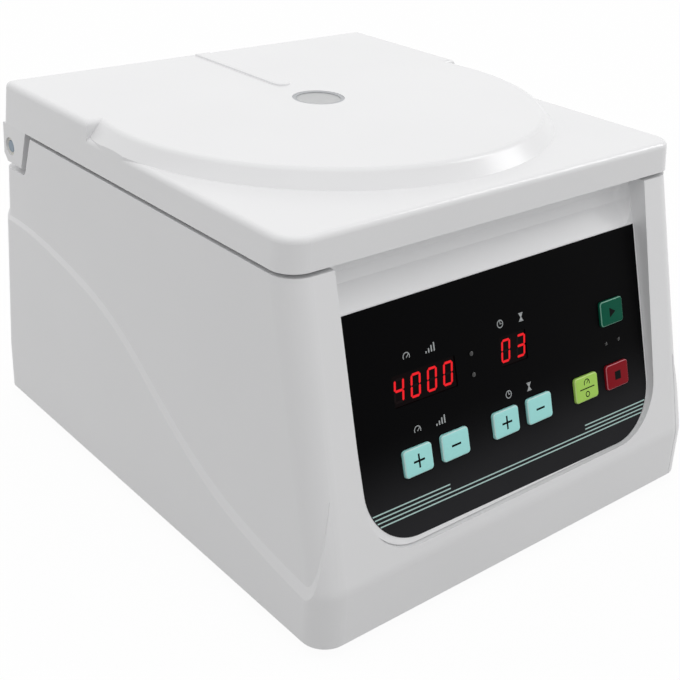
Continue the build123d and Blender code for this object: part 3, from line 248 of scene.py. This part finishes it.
# %% Window
lens_acrylic, tree, shader, place = start_material("satin_acrylic_lens", Roughness=0.28, IOR=1.49,
                                                   Transmission_Weight=0.35)
shader.inputs["Base Color"].default_value = linear("#DADBDC")
haze = add(tree, "ShaderNodeTexNoise", {"Vector": place, "Scale": 1 / (1.5 * MM), "Detail": 3.0})
relief(tree, shader, haze.outputs["Fac"], 0.01)


# %% [markdown]
# The CAD shells that keep their shape only need the right material. One small function swaps it in, and the list
# below reads like the finish column of a parts list.

# %% Give the CAD shells their finish
def dress(material, *names):
    """Puts one material on CAD nodes."""
    for name in names:
        mesh = nodes[name].data
        mesh.materials.clear()
        mesh.materials.append(material)


dress(housing_abs, "housing_shell", "panel_plate")
dress(lid_abs, "lid_shell")
dress(liner_abs, "lid_liner", "window_ring")
dress(lens_acrylic, "window_lens")
dress(foot_rubber, "foot_front_left", "foot_front_right", "foot_rear_left", "foot_rear_right", "motor_damper_1",
      "motor_damper_2", "motor_damper_3", "spindle_seal")
dress(seal_silicone, "chamber_seal")
dress(sleeve_pp, "tube_sleeves")
dress(bush_nylon, "hinge_bush_left", "hinge_bush_right", "board_standoffs")
dress(fitting_pbt, "power_inlet", "power_switch_frame", "power_rocker", "key_switches", "motor_can")
dress(rotor_aluminium, "rotor", "motor_lower_cap", "motor_upper_cap")
dress(nut_steel, "rotor_nut", "spindle", "motor_armature", "motor_stator", "bearing_lower", "bearing_upper")
dress(pin_steel, "hinge_pin_left", "hinge_pin_right", "lock_bolt")
dress(bowl_steel, "chamber_bowl")
dress(zinc_sheet, "base_plate", "foot_screws", "guard_barrel", "motor_plate", "lid_screws", "lid_hook",
      "hinge_bracket_left", "hinge_bracket_right", "lock_bracket", "lock_solenoid", "transformer")
dress(display_filter, "display_speed", "display_time")
dress(lamp_tint, "indicator_lamps")
dress(board_resin, "panel_board", "control_board")

# %% [markdown]
# Everything printed or pressed on the panel is laid out on the panel's own sheet: x across it and y up it, from the
# middle of its lower edge. One matrix stands that sheet up at the panel's place and tilt. A finished piece then has
# its place written into its mesh, so its object sits at the origin like a CAD node.

# %% The panel's sheet
PANEL_TILT = math.radians(16.3)
PLATE_THICKNESS = 1.5 * MM
HAIR = 0.01 * MM
panel_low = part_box("panel_plate")[0]
panel_origin = Vector((0.0, panel_low.y, panel_low.z + PLATE_THICKNESS * math.sin(PANEL_TILT)))
panel_up = Vector((0.0, math.sin(PANEL_TILT), math.cos(PANEL_TILT)))
panel_out = Vector((0.0, -math.cos(PANEL_TILT), math.sin(PANEL_TILT)))
panel_sheet = Matrix((
    (1.0, 0.0, 0.0, panel_origin.x),
    (0.0, panel_up.y, panel_out.y, panel_origin.y),
    (0.0, panel_up.z, panel_out.z, panel_origin.z),
    (0.0, 0.0, 0.0, 1.0),
))
print("panel stands at", tuple(round(c, 4) for c in panel_origin))


def start_piece(operator, name, **settings):
    """Adds a primitive with nothing else selected."""
    bpy.ops.object.select_all(action="DESELECT")
    operator(**settings)
    piece = bpy.context.object
    piece.name = name
    return piece


def finish_piece(piece, material, body, sheet=None):
    """Writes a piece's place into its mesh, gives it its finish and lets it ride on a body."""
    bpy.context.view_layer.update()
    piece.data.transform((sheet or Matrix.Identity(4)) @ piece.matrix_world)
    piece.matrix_world = Matrix.Identity(4)
    bpy.ops.object.select_all(action="DESELECT")
    piece.select_set(True)
    bpy.context.view_layer.objects.active = piece
    piece.data.materials.clear()
    piece.data.materials.append(material)
    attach(piece, body)


def edit(piece):
    """Opens a piece for editing with nothing selected."""
    bpy.ops.object.select_all(action="DESELECT")
    piece.select_set(True)
    bpy.context.view_layer.objects.active = piece
    bpy.ops.object.mode_set(mode="EDIT")
    bpy.ops.mesh.select_all(action="DESELECT")
    return bmesh.from_edit_mesh(piece.data)


def pick(piece, mesh, chosen, what="EDGE"):
    """Selects what a rule chooses among a mesh's faces, edges or vertices."""
    bpy.ops.mesh.select_mode(type=what)
    items = {"EDGE": mesh.edges, "FACE": mesh.faces, "VERT": mesh.verts}[what]
    for item in items:
        item.select = chosen(item)
    mesh.select_flush_mode()
    bmesh.update_edit_mesh(piece.data)


def upright(edge):
    """Whether an edge of a block stands up from the sheet."""
    return abs(edge.verts[0].co.z - edge.verts[1].co.z) > 1 * MM


# %% [markdown]
# A key cap is a small moulding with rounded corners and a soft edge, slightly crowned so that a finger finds its
# middle. It starts as a box at the cap's size. Its upright edges are bevelled for the corners, its top edges for
# the soft rim, and its top is inset and lifted for the crown. One cap is modelled and the others are copies of it.

# %% One key cap
KEY_SIZE = Vector((20.5, 15.7, 3.2)) * MM
KEY_PROUD = 1.9 * MM
KEY_CROWN = 0.1 * MM
KEY_CORNER = 2.2 * MM
KEY_EDGE = 0.9 * MM
KEY_RIM = 1.0 * MM
HIGHLIGHT_LEANS = (0.35, 0.97)


def model_key_cap():
    """One cap, standing at the middle of the panel's sheet."""
    cap = start_piece(bpy.ops.mesh.primitive_cube_add, "key_cap_pattern", size=1.0,
                      location=(0, 0, KEY_PROUD - KEY_SIZE.z / 2))
    cap.scale = KEY_SIZE
    bpy.ops.object.transform_apply(location=True, rotation=True, scale=True)
    mesh = edit(cap)
    pick(cap, mesh, upright)
    bpy.ops.mesh.bevel(offset=KEY_CORNER, segments=6, affect="EDGES")
    mesh = bmesh.from_edit_mesh(cap.data)
    pick(cap, mesh, lambda e: all(v.co.z > KEY_PROUD - HAIR for v in e.verts))
    bpy.ops.mesh.bevel(offset=KEY_EDGE, segments=4, affect="EDGES")
    mesh = bmesh.from_edit_mesh(cap.data)
    pick(cap, mesh, lambda f: f.normal.z > 0.99 and f.calc_center_median().z > KEY_PROUD - HAIR, "FACE")
    bpy.ops.mesh.inset(thickness=KEY_RIM)
    bpy.ops.transform.translate(value=(0, 0, KEY_CROWN))
    bpy.ops.object.mode_set(mode="OBJECT")
    bpy.ops.object.shade_smooth_by_angle(angle=math.radians(50))
    return cap


def paint_rim_highlight(cap, material):
    """Paints the soft edge round a cap's top in a paler colour, a painted highlight. Its faces lean
    more than the top's and less than the sides'."""
    cap.data.materials.append(material)
    for face in cap.data.polygons:
        lean = (panel_sheet.inverted().to_3x3() @ face.normal).z
        face.material_index = int(HIGHLIGHT_LEANS[0] < lean < HIGHLIGHT_LEANS[1])


key_pattern = model_key_cap()
# Places on the panel's sheet, in millimetres, where the CAD keys are
key_places = {
    "speed_up": (-77.6, 44.5),
    "speed_down": (-49.8, 44.5),
    "time_up": (-9.4, 44.5),
    "time_down": (18.7, 44.5),
    "mode": (60.5, 44.5),
    "stop": (89.5, 44.5),
    "start": (89.5, 85.0),
}
key_tone = {"mode": "lime", "stop": "red", "start": "green"}
for name, (x, y) in key_places.items():
    cap = bpy.data.objects.new("key_cap_" + name, key_pattern.data.copy())
    bpy.context.scene.collection.objects.link(cap)
    cap.location = (x * MM, y * MM, 0)
    tone = key_tone.get(name, "cyan")
    finish_piece(cap, key_plastic[tone], name + "_key", panel_sheet)
    # Paints a highlight on the cap's rim
    paint_rim_highlight(cap, rim_highlight[tone])
    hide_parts("key_" + name)
bpy.data.objects.remove(key_pattern)
print("key caps:", len(key_places))


# %% [markdown]
# The film is one sheet, die cut with a rounded foot and with windows for the keys, displays and lamps. It was laid
# by hand and runs a little out of square, so its own sheet leans against the panel's by a hair. Only its upper edge
# follows the plate. It starts as a rectangle. Bevelled corners give its outline, an extrusion its thickness, and one
# difference cuts the windows. Beforehand it is divided into strips, so that no face holds many holes.

# %% The printed film
FILM_LEVEL = 0.05
FILM_THICK = 0.12
FILM_LEAN = 0.0158
FILM_LOW = Vector((-116.3, 1.6))
FILM_HIGH = Vector((118.3, 133.9))
FILM_CORNER = 34.0
FILM_STRIPS = (-94.0, -64.0, -38.0, -22.0, 3.0, 35.0, 75.0, 100.0)
KEY_WINDOW_GAP = 0.3
KEY_WINDOW_CORNER = 2.4
DISPLAY_WINDOW_CORNER = 0.6
LAMP_WINDOW = 2.6
LAMP_WINDOW_CORNER = 1.25
print_sheet = panel_sheet @ Matrix(((1, 0, 0, 0), (-FILM_LEAN, 1, 0, 0), (0, 0, 1, 0), (0, 0, 0, 1)))
# Middle and width of each display's window
display_places = {"speed": (-64.6, 85.0, 46.0), "time": (4.2, 85.0, 21.2)}
DISPLAY_TALL = 17.6
# The two lamps beside the speed display, then the two under the start key
lamp_places = [(-29.2, 78.8), (-29.2, 91.0), (83.4, 66.0), (95.2, 66.0)]


def window_block(x, y, width, height, corner_radius):
    """A block that cuts one window through the film."""
    block = start_piece(bpy.ops.mesh.primitive_cube_add, "window_block", size=1.0, location=(x * MM, y * MM, 0))
    block.scale = (width * MM, height * MM, 4 * MM)
    bpy.ops.object.transform_apply(location=True, rotation=True, scale=True)
    mesh = edit(block)
    pick(block, mesh, upright)
    bpy.ops.mesh.bevel(offset=corner_radius * MM, segments=6, affect="EDGES")
    bpy.ops.object.mode_set(mode="OBJECT")
    return block


def round_off(piece, chosen, radius, segments):
    """Rounds chosen corners of a flat outline."""
    mesh = edit(piece)
    pick(piece, mesh, chosen, "VERT")
    bpy.ops.mesh.bevel(offset=radius * MM, segments=segments, affect="VERTICES")
    bpy.ops.object.mode_set(mode="OBJECT")


film_middle = (FILM_LOW + FILM_HIGH) / 2
film_size = FILM_HIGH - FILM_LOW
film = start_piece(bpy.ops.mesh.primitive_plane_add, "panel_film", size=1.0,
                   location=(film_middle.x * MM, film_middle.y * MM, 0))
film.scale = (film_size.x * MM, film_size.y * MM, 1.0)
bpy.ops.object.transform_apply(location=True, rotation=True, scale=True)
round_off(film, lambda v: v.co.y < film_middle.y * MM, FILM_CORNER, 24)
mesh = edit(film)
for corner in mesh.verts:
    if corner.co.y > (FILM_HIGH.y - 1) * MM:
        corner.co.y += FILM_LEAN * corner.co.x
bmesh.update_edit_mesh(film.data)
for x in FILM_STRIPS:
    bpy.ops.mesh.select_all(action="SELECT")
    bpy.ops.mesh.bisect(plane_co=(x * MM, 0, 0), plane_no=(1, 0, 0))
bpy.ops.mesh.select_all(action="SELECT")
bpy.ops.mesh.extrude_region_move(TRANSFORM_OT_translate={"value": (0, 0, FILM_THICK * MM)})
bpy.ops.mesh.select_all(action="SELECT")
bpy.ops.mesh.normals_make_consistent(inside=False)
bpy.ops.object.mode_set(mode="OBJECT")
key_window = KEY_SIZE.xy / MM + Vector((2 * KEY_WINDOW_GAP, 2 * KEY_WINDOW_GAP))
blocks = [window_block(x, y + FILM_LEAN * x, *key_window, KEY_WINDOW_CORNER) for x, y in key_places.values()]
blocks += [window_block(x, y + FILM_LEAN * x, wide, DISPLAY_TALL, DISPLAY_WINDOW_CORNER)
           for x, y, wide in display_places.values()]
blocks += [window_block(x, y + FILM_LEAN * x, LAMP_WINDOW, LAMP_WINDOW, LAMP_WINDOW_CORNER)
           for x, y in lamp_places]
bpy.ops.object.select_all(action="DESELECT")
for block in blocks:
    block.select_set(True)
bpy.context.view_layer.objects.active = blocks[0]
bpy.ops.object.join()
cutter = bpy.context.object
cut = film.modifiers.new("windows", "BOOLEAN")
cut.object = cutter
cut.operation = "DIFFERENCE"
cut.solver = "EXACT"
bpy.ops.object.select_all(action="DESELECT")
film.select_set(True)
bpy.context.view_layer.objects.active = film
bpy.ops.object.modifier_apply(modifier=cut.name)
bpy.data.objects.remove(cutter)
film.location.z = FILM_LEVEL * MM
finish_piece(film, panel_film, "housing", print_sheet)
print("film faces:", len(film.data.polygons))

# %% [markdown]
# Printed marks are flat shapes of ink. Each starts as one flat polygon, is raised by an extrusion no thicker than a
# coat of screen ink, and is joined with its neighbours. Bars, rings and polygons are enough for every mark here:
# stripes, plus and minus, and the plain signs that stand where the panel would have words.

# %% Flat marks
INK = 0.05 * MM
PRINT_LEVEL = FILM_LEVEL + FILM_THICK
ARCH_FOOT = 0.45


def bar(x, y, length, width, turn=0.0):
    """A flat bar of ink, lengths in millimetres on the sheet."""
    piece = start_piece(bpy.ops.mesh.primitive_plane_add, "bar", size=1.0, location=(x * MM, y * MM, 0),
                        rotation=(0, 0, math.radians(turn)))
    piece.scale = (length * MM, width * MM, 1.0)
    bpy.ops.object.transform_apply(location=True, rotation=True, scale=True)
    return piece


def polygon(x, y, radius, sides, turn=0.0):
    """A flat regular polygon of ink."""
    piece = start_piece(bpy.ops.mesh.primitive_circle_add, "polygon", vertices=sides, radius=radius * MM,
                        fill_type="NGON", location=(x * MM, y * MM, 0), rotation=(0, 0, math.radians(turn)))
    bpy.ops.object.transform_apply(location=True, rotation=True, scale=True)
    return piece


def ring(x, y, radius, width, open_below=False):
    """A flat ring of ink, or an arch if it is open below. The disc is inset and its middle taken out."""
    piece = start_piece(bpy.ops.mesh.primitive_circle_add, "ring", vertices=40, radius=radius * MM,
                        fill_type="NGON", location=(0, 0, 0))
    edit(piece)
    bpy.ops.mesh.select_all(action="SELECT")
    bpy.ops.mesh.inset(thickness=width * MM)
    bpy.ops.mesh.delete(type="FACE")
    if open_below:
        mesh = bmesh.from_edit_mesh(piece.data)
        pick(piece, mesh, lambda f: f.calc_center_median().y < -ARCH_FOOT * radius * MM, "FACE")
        bpy.ops.mesh.delete(type="FACE")
    bpy.ops.object.mode_set(mode="OBJECT")
    piece.location = (x * MM, y * MM, 0)
    bpy.ops.object.transform_apply(location=True, rotation=False, scale=False)
    return piece


def ink_up(pieces, name, level):
    """Joins flat marks and raises them to a coat of ink at a level above the sheet."""
    bpy.ops.object.select_all(action="DESELECT")
    for piece in pieces:
        piece.select_set(True)
    bpy.context.view_layer.objects.active = pieces[0]
    if len(pieces) > 1:
        bpy.ops.object.join()
    joined = bpy.context.object
    joined.name = name
    edit(joined)
    bpy.ops.mesh.select_all(action="SELECT")
    bpy.ops.mesh.normals_make_consistent(inside=False)
    bpy.ops.mesh.extrude_region_move(TRANSFORM_OT_translate={"value": (0, 0, INK)})
    bpy.ops.mesh.select_all(action="SELECT")
    bpy.ops.mesh.normals_make_consistent(inside=False)
    bpy.ops.object.mode_set(mode="OBJECT")
    joined.location.z = level * MM
    return joined


# %% [markdown]
# Four pale stripes run across the foot of the panel and end at its edge. The upper two stop short on both sides of
# the middle. They are printed on the film, so they follow its rounded lower corners and are cut off there.

# %% Stripes across the panel
STRIPE_WIDTH = 0.75
STRIPE_HEIGHTS = (22.0, 19.6, 17.2, 14.8)
GAP_LEFT, GAP_RIGHT = -56.5, 57.2
GAP_ABOVE = 18.0
STRIPE_END = 0.5


def film_inset(y):
    """How far the film's rounded corner draws in at a height above the panel's lower edge."""
    rise = max(0.0, FILM_CORNER - (y - FILM_LOW.y))
    return FILM_CORNER - math.sqrt(FILM_CORNER ** 2 - rise ** 2)


stripes = []
for y in STRIPE_HEIGHTS:
    left = FILM_LOW.x + film_inset(y) + STRIPE_END
    right = FILM_HIGH.x - film_inset(y) - STRIPE_END
    spans = [(left, GAP_LEFT), (GAP_RIGHT, right)] if y > GAP_ABOVE else [(left, right)]
    stripes += [bar((start + end) / 2, y, end - start, STRIPE_WIDTH) for start, end in spans]
finish_piece(ink_up(stripes, "panel_stripes", PRINT_LEVEL), pale_ink, "housing", print_sheet)

# %% [markdown]
# A seven segment digit is made of hexagonal bars that lean a few degrees to the right. One bar is a plane whose
# ends are bevelled to points. The digits read a plain speed and a plain time. Segments that are off still show
# faintly behind the filter, so they get a dark piece of their own.

# %% Seven segment digits
DIGIT_HEIGHT = 13.4
DIGIT_WIDTH = 7.2
STROKE = 1.35
DIGIT_LEAN = math.radians(8.0)
SEGMENT_GAP = 0.25
SEGMENT_POINT = 0.49 * STROKE
DISPLAY_FACE = -0.4
# Middle of each segment in half digits from the digit's own middle, and its turn
SEGMENTS = {"a": (0, 1, 0), "b": (1, 0.5, 90), "c": (1, -0.5, 90), "d": (0, -1, 0), "e": (-1, -0.5, 90),
            "f": (-1, 0.5, 90), "g": (0, 0, 0)}
LIT = {"0": "abcdef", "3": "abcdg", "4": "bcfg"}


def segment(x, y, length, turn):
    """One hexagonal bar of a digit."""
    piece = bar(0, 0, length, STROKE)
    edit(piece)
    bpy.ops.mesh.select_all(action="SELECT")
    bpy.ops.mesh.bevel(offset=SEGMENT_POINT * MM, segments=1, affect="VERTICES")
    bpy.ops.object.mode_set(mode="OBJECT")
    piece.rotation_euler.z = math.radians(turn)
    piece.location = (x * MM, y * MM, 0)
    bpy.ops.object.transform_apply(location=True, rotation=True, scale=True)
    return piece


def digits(text, centre_x, centre_y, pitch, name):
    """The lit and the dark segments of a row of digits, as two pieces."""
    lit, dark = [], []
    tall = (DIGIT_HEIGHT - STROKE) / 2
    wide = (DIGIT_WIDTH - STROKE) / 2
    for index, character in enumerate(text):
        x0 = centre_x + (index - (len(text) - 1) / 2) * pitch
        for key, (sx, sy, turn) in SEGMENTS.items():
            length = (tall if turn else 2 * wide) - SEGMENT_GAP
            piece = segment(x0 + sx * wide, centre_y + sy * tall, length, turn)
            (lit if key in LIT[character] else dark).append(piece)
    lean = Matrix(((1, math.tan(DIGIT_LEAN), 0, 0), (0, 1, 0, 0), (0, 0, 1, 0), (0, 0, 0, 1)))
    lean = Matrix.Translation((0, centre_y * MM, 0)) @ lean @ Matrix.Translation((0, -centre_y * MM, 0))
    for pieces, part, material in ((lit, "lit", lit_segment), (dark, "dark", dark_segment)):
        joined = ink_up(pieces, name + "_" + part, DISPLAY_FACE)
        joined.data.transform(lean)
        finish_piece(joined, material, "housing", print_sheet)


digits("4000", -65.2, 84.0, 11.9, "digits_speed")
digits("03", 4.4, 85.1, 12.4, "digits_time")

# %% [markdown]
# The keys carry signs in dark ink: plus and minus, a triangle for go, a square for stop, and a dial over a bar over
# a ring on the key that changes between two readings. Each sign rides on its own key.

# %% Signs on the keys
SIGN_LEVEL = (KEY_PROUD + KEY_CROWN) / MM
SIGN_STROKE = 1.2


def key_sign(name, marks):
    """Prints flat marks on a key's crown."""
    finish_piece(ink_up(marks, "sign_" + name, SIGN_LEVEL), dark_ink, name + "_key", panel_sheet)


for name in ("speed_up", "time_up"):
    x, y = key_places[name]
    key_sign(name, [bar(x, y, 8.0, SIGN_STROKE), bar(x, y, SIGN_STROKE, 8.0)])
for name in ("speed_down", "time_down"):
    x, y = key_places[name]
    key_sign(name, [bar(x, y, 7.0, SIGN_STROKE)])
x, y = key_places["mode"]
dial = [ring(x, y + 3.4, 2.6, 0.6, open_below=True), bar(x + 0.6, y + 3.9, 2.4, 0.5, 50)]
key_sign("mode", [bar(x, y, 13.0, 0.7)] + dial + [ring(x, y - 3.8, 1.9, 0.6)])
x, y = key_places["stop"]
key_sign("stop", [bar(x, y, 5.4, 5.4)])
x, y = key_places["start"]
key_sign("start", [polygon(x - 0.6, y, 3.6, 3, -90)])

# %% [markdown]
# Above the displays and above the paired keys the panel says what they set. Plain signs do it without words: a
# dial with its needle and rising bars for the speed, a clock face and a sand glass for the time.

# %% Signs above the displays and keys
BARS_START = 14.0
BAR_WIDTH, BAR_PITCH, BAR_STEP = 0.9, 2.0, 1.2
BARS_FOOT = -1.9
GLASS_PLACE = 17.0
FINE_STROKE = 0.45


def speed_sign(x, y):
    """A dial with its needle, and four bars that rise to the right."""
    needle = bar(x + 0.7, y + 0.3, 2.6, FINE_STROKE, 45)
    tall = [BAR_STEP * (i + 1) for i in range(4)]
    bars = [bar(x + BARS_START + BAR_PITCH * i, y + BARS_FOOT + tall[i] / 2, BAR_WIDTH, tall[i]) for i in range(4)]
    return [ring(x, y, 2.5, 0.5, open_below=True), needle] + bars


def time_sign(x, y):
    """A clock face with two hands, and a sand glass."""
    hands = [bar(x, y + 0.8, FINE_STROKE, 1.9), bar(x + 0.6, y, 1.5, FINE_STROKE)]
    middle = x + GLASS_PLACE
    glass = [polygon(middle, y + 1.1, 1.7, 3, 180), polygon(middle, y - 1.1, 1.7, 3, 0),
             bar(middle, y + 2.3, 3.6, FINE_STROKE), bar(middle, y - 2.3, 3.6, FINE_STROKE)]
    return [ring(x, y, 2.4, 0.5)] + hands + glass


marks = speed_sign(-75.5, 101.0) + time_sign(-4.5, 101.5) + speed_sign(-74.5, 59.5) + time_sign(-4.0, 59.5)
finish_piece(ink_up(marks, "panel_signs", PRINT_LEVEL), grey_ink, "housing", print_sheet)

# %% [markdown]
# The lamps are domes of tinted plastic that stand a little proud of the film. Each starts as a sphere. Its lower half
# is cut away and its height brought down to about half. The two beside the speed display are larger than the two
# under the start key.

# %% Lamp domes
LARGE_DOME, SMALL_DOME = 1.45, 1.0
DOME_SQUASH = 0.55


def lamp_dome(x, y, radius, number):
    """The upper half of a sphere, squashed to a low dome."""
    dome = start_piece(bpy.ops.mesh.primitive_uv_sphere_add, "lamp_dome_%d" % number, segments=28, ring_count=18,
                       radius=radius * MM)
    mesh = edit(dome)
    pick(dome, mesh, lambda v: v.co.z < -HAIR, "VERT")
    bpy.ops.mesh.delete(type="VERT")
    bpy.ops.mesh.select_all(action="SELECT")
    bpy.ops.transform.resize(value=(1, 1, DOME_SQUASH))
    bpy.ops.object.mode_set(mode="OBJECT")
    bpy.ops.object.shade_smooth()
    dome.location = (x * MM, y * MM, 0)
    finish_piece(dome, lamp_tint, "housing", panel_sheet)


for number, (x, y) in enumerate(lamp_places):
    lamp_dome(x, y, LARGE_DOME if number < 2 else SMALL_DOME, number + 1)

# %% [markdown]
# The mains rocker at the rear carries the two signs that every such switch has: a bar for on and a ring for off.
# They are moulded in white. Flat marks are stood up behind the switch and a shrinkwrap lays them on its face.

# %% Rocker marks
MARK_REACH = 4.2
MARK_LIFT = 0.06
MARK_START = 2.0
rocker_low, rocker_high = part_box("power_rocker")
rocker_middle = (rocker_low + rocker_high) / 2
facing_back = Matrix(((-1, 0, 0, 0), (0, 0, 1, 0), (0, 1, 0, 0), (0, 0, 0, 1)))
rocker_sheet = Matrix.Translation((rocker_middle.x, rocker_high.y + MARK_START * MM, rocker_middle.z)) @ facing_back


def rocker_mark(mark, name):
    """Stands a flat mark up behind the switch and lays it on the rocker's face."""
    edit(mark)
    bpy.ops.mesh.select_all(action="SELECT")
    bpy.ops.mesh.subdivide(number_cuts=3)
    bpy.ops.object.mode_set(mode="OBJECT")
    mark.name = name
    finish_piece(mark, pale_ink, "rocker", rocker_sheet)
    wrap = mark.modifiers.new("lay", "SHRINKWRAP")
    wrap.target = nodes["power_rocker"]
    wrap.wrap_method = "PROJECT"
    wrap.use_project_y = True
    wrap.use_negative_direction = True
    wrap.use_positive_direction = False
    wrap.offset = MARK_LIFT * MM
    bpy.ops.object.modifier_apply(modifier=wrap.name)


rocker_mark(bar(MARK_REACH, 0, 0.9, 4.0), "rocker_mark_on")
rocker_mark(ring(-MARK_REACH, 0, 2.0, 0.6), "rocker_mark_off")

# %% [markdown]
# The instrument stands on a plain pale floor under an even sky, as in a light tent, with one broad soft light above
# and a weak one in front. The tent is a little darker on the side where the photographer stands. The floor returns
# less light to the walls than it shows to the eye, because the real table was darker than its cut-out picture. What
# is seen directly, mirrored or through clear plastic is plain white. A tall soft box on the right adds the bright
# line along the lid's front edge and the gleam on the wall of its raised centre. It shows in glossy reflections alone
# and adds no soft light.

# %% Floor and lights
FILL = 0.92
SHADE = 0.36
SHADE_SIDE = (-0.64, -0.77, 0.0)
FLOOR_WHITE = 0.95
floor = start_piece(bpy.ops.mesh.primitive_plane_add, "floor", size=6.0, location=(0, 0, 0))


def seen_rays(tree):
    """One for rays that come from the eye, off a gloss or through clear plastic, and nought for soft light."""
    path = add(tree, "ShaderNodeLightPath")
    mirrored = add(tree, "ShaderNodeMath", {0: path.outputs["Is Glossy Ray"],
                                            1: path.outputs["Is Transmission Ray"]}, operation="MAXIMUM")
    return add(tree, "ShaderNodeMath", {0: path.outputs["Is Camera Ray"], 1: mirrored.outputs[0]},
               operation="MAXIMUM").outputs[0]


floor_material, tree, shader, _ = start_material("pale_floor", Roughness=0.9, Specular_IOR_Level=0.1)
seen = seen_rays(tree)
tone = add(tree, "ShaderNodeMix", {"Factor": seen, "A": linear("#A4A4A4"), "B": linear("#FFFFFF")},
           data_type="RGBA")
tree.links.new(socket(tone.outputs, "Result"), shader.inputs["Base Color"])
share = add(tree, "ShaderNodeMath", {0: seen, 1: FLOOR_WHITE}, operation="MULTIPLY")
white = add(tree, "ShaderNodeEmission", {"Color": linear("#FFFFFF"), "Strength": 1.0})
mixed = add(tree, "ShaderNodeMixShader", {0: share.outputs[0], 1: shader.outputs["BSDF"], 2: white.outputs[0]})
output = next(node for node in tree.nodes if node.type == "OUTPUT_MATERIAL")
tree.links.new(mixed.outputs[0], output.inputs["Surface"])
floor.data.materials.append(floor_material)

world = bpy.data.worlds.new("studio")
bpy.context.scene.world = world
world.use_nodes = True
tree = world.node_tree
tree.nodes.clear()
direction = add(tree, "ShaderNodeTexCoord").outputs["Generated"]
facing = add(tree, "ShaderNodeVectorMath", {0: direction, 1: SHADE_SIDE}, operation="DOT_PRODUCT").outputs["Value"]
strength = add(tree, "ShaderNodeMapRange", {"Value": facing, "From Min": 0.0, "From Max": 1.0, "To Min": FILL,
                                            "To Max": FILL * (1 - SHADE)})
fill = add(tree, "ShaderNodeBackground", {"Color": linear("#FFFFFF"), "Strength": strength.outputs[0]})
plain_white = add(tree, "ShaderNodeBackground", {"Color": linear("#FFFFFF"), "Strength": 1.0})
sky = add(tree, "ShaderNodeMixShader", {0: seen_rays(tree), 1: fill.outputs[0], 2: plain_white.outputs[0]})
add(tree, "ShaderNodeOutputWorld", {"Surface": sky.outputs[0]})


def area_lamp(name, place, target, size, watts, gleam_only=False):
    """A soft light, wide by tall, that faces a point. One for gleam alone shows in glossy edges and no more."""
    data = bpy.data.lights.new(name, "AREA")
    data.shape = "RECTANGLE"
    data.size, data.size_y = size
    data.energy = watts
    lamp = bpy.data.objects.new(name, data)
    lamp.location = place
    lamp.rotation_euler = (Vector(target) - Vector(place)).to_track_quat("-Z", "Y").to_euler()
    lamp.visible_diffuse = not gleam_only
    lamp.visible_camera = False
    bpy.context.scene.collection.objects.link(lamp)


area_lamp("top_light", (0.0, 0.0, 1.5), (0, 0, 0.2), (1.4, 1.4), 2.0)
area_lamp("front_light", (0.5, -1.4, 0.8), (0, 0, 0.15), (1.2, 1.2), 1.5)
area_lamp("side_softbox", (1.18, -0.43, 1.1), (0, 0, 0.2), (0.42, 0.9), 4.8, gleam_only=True)
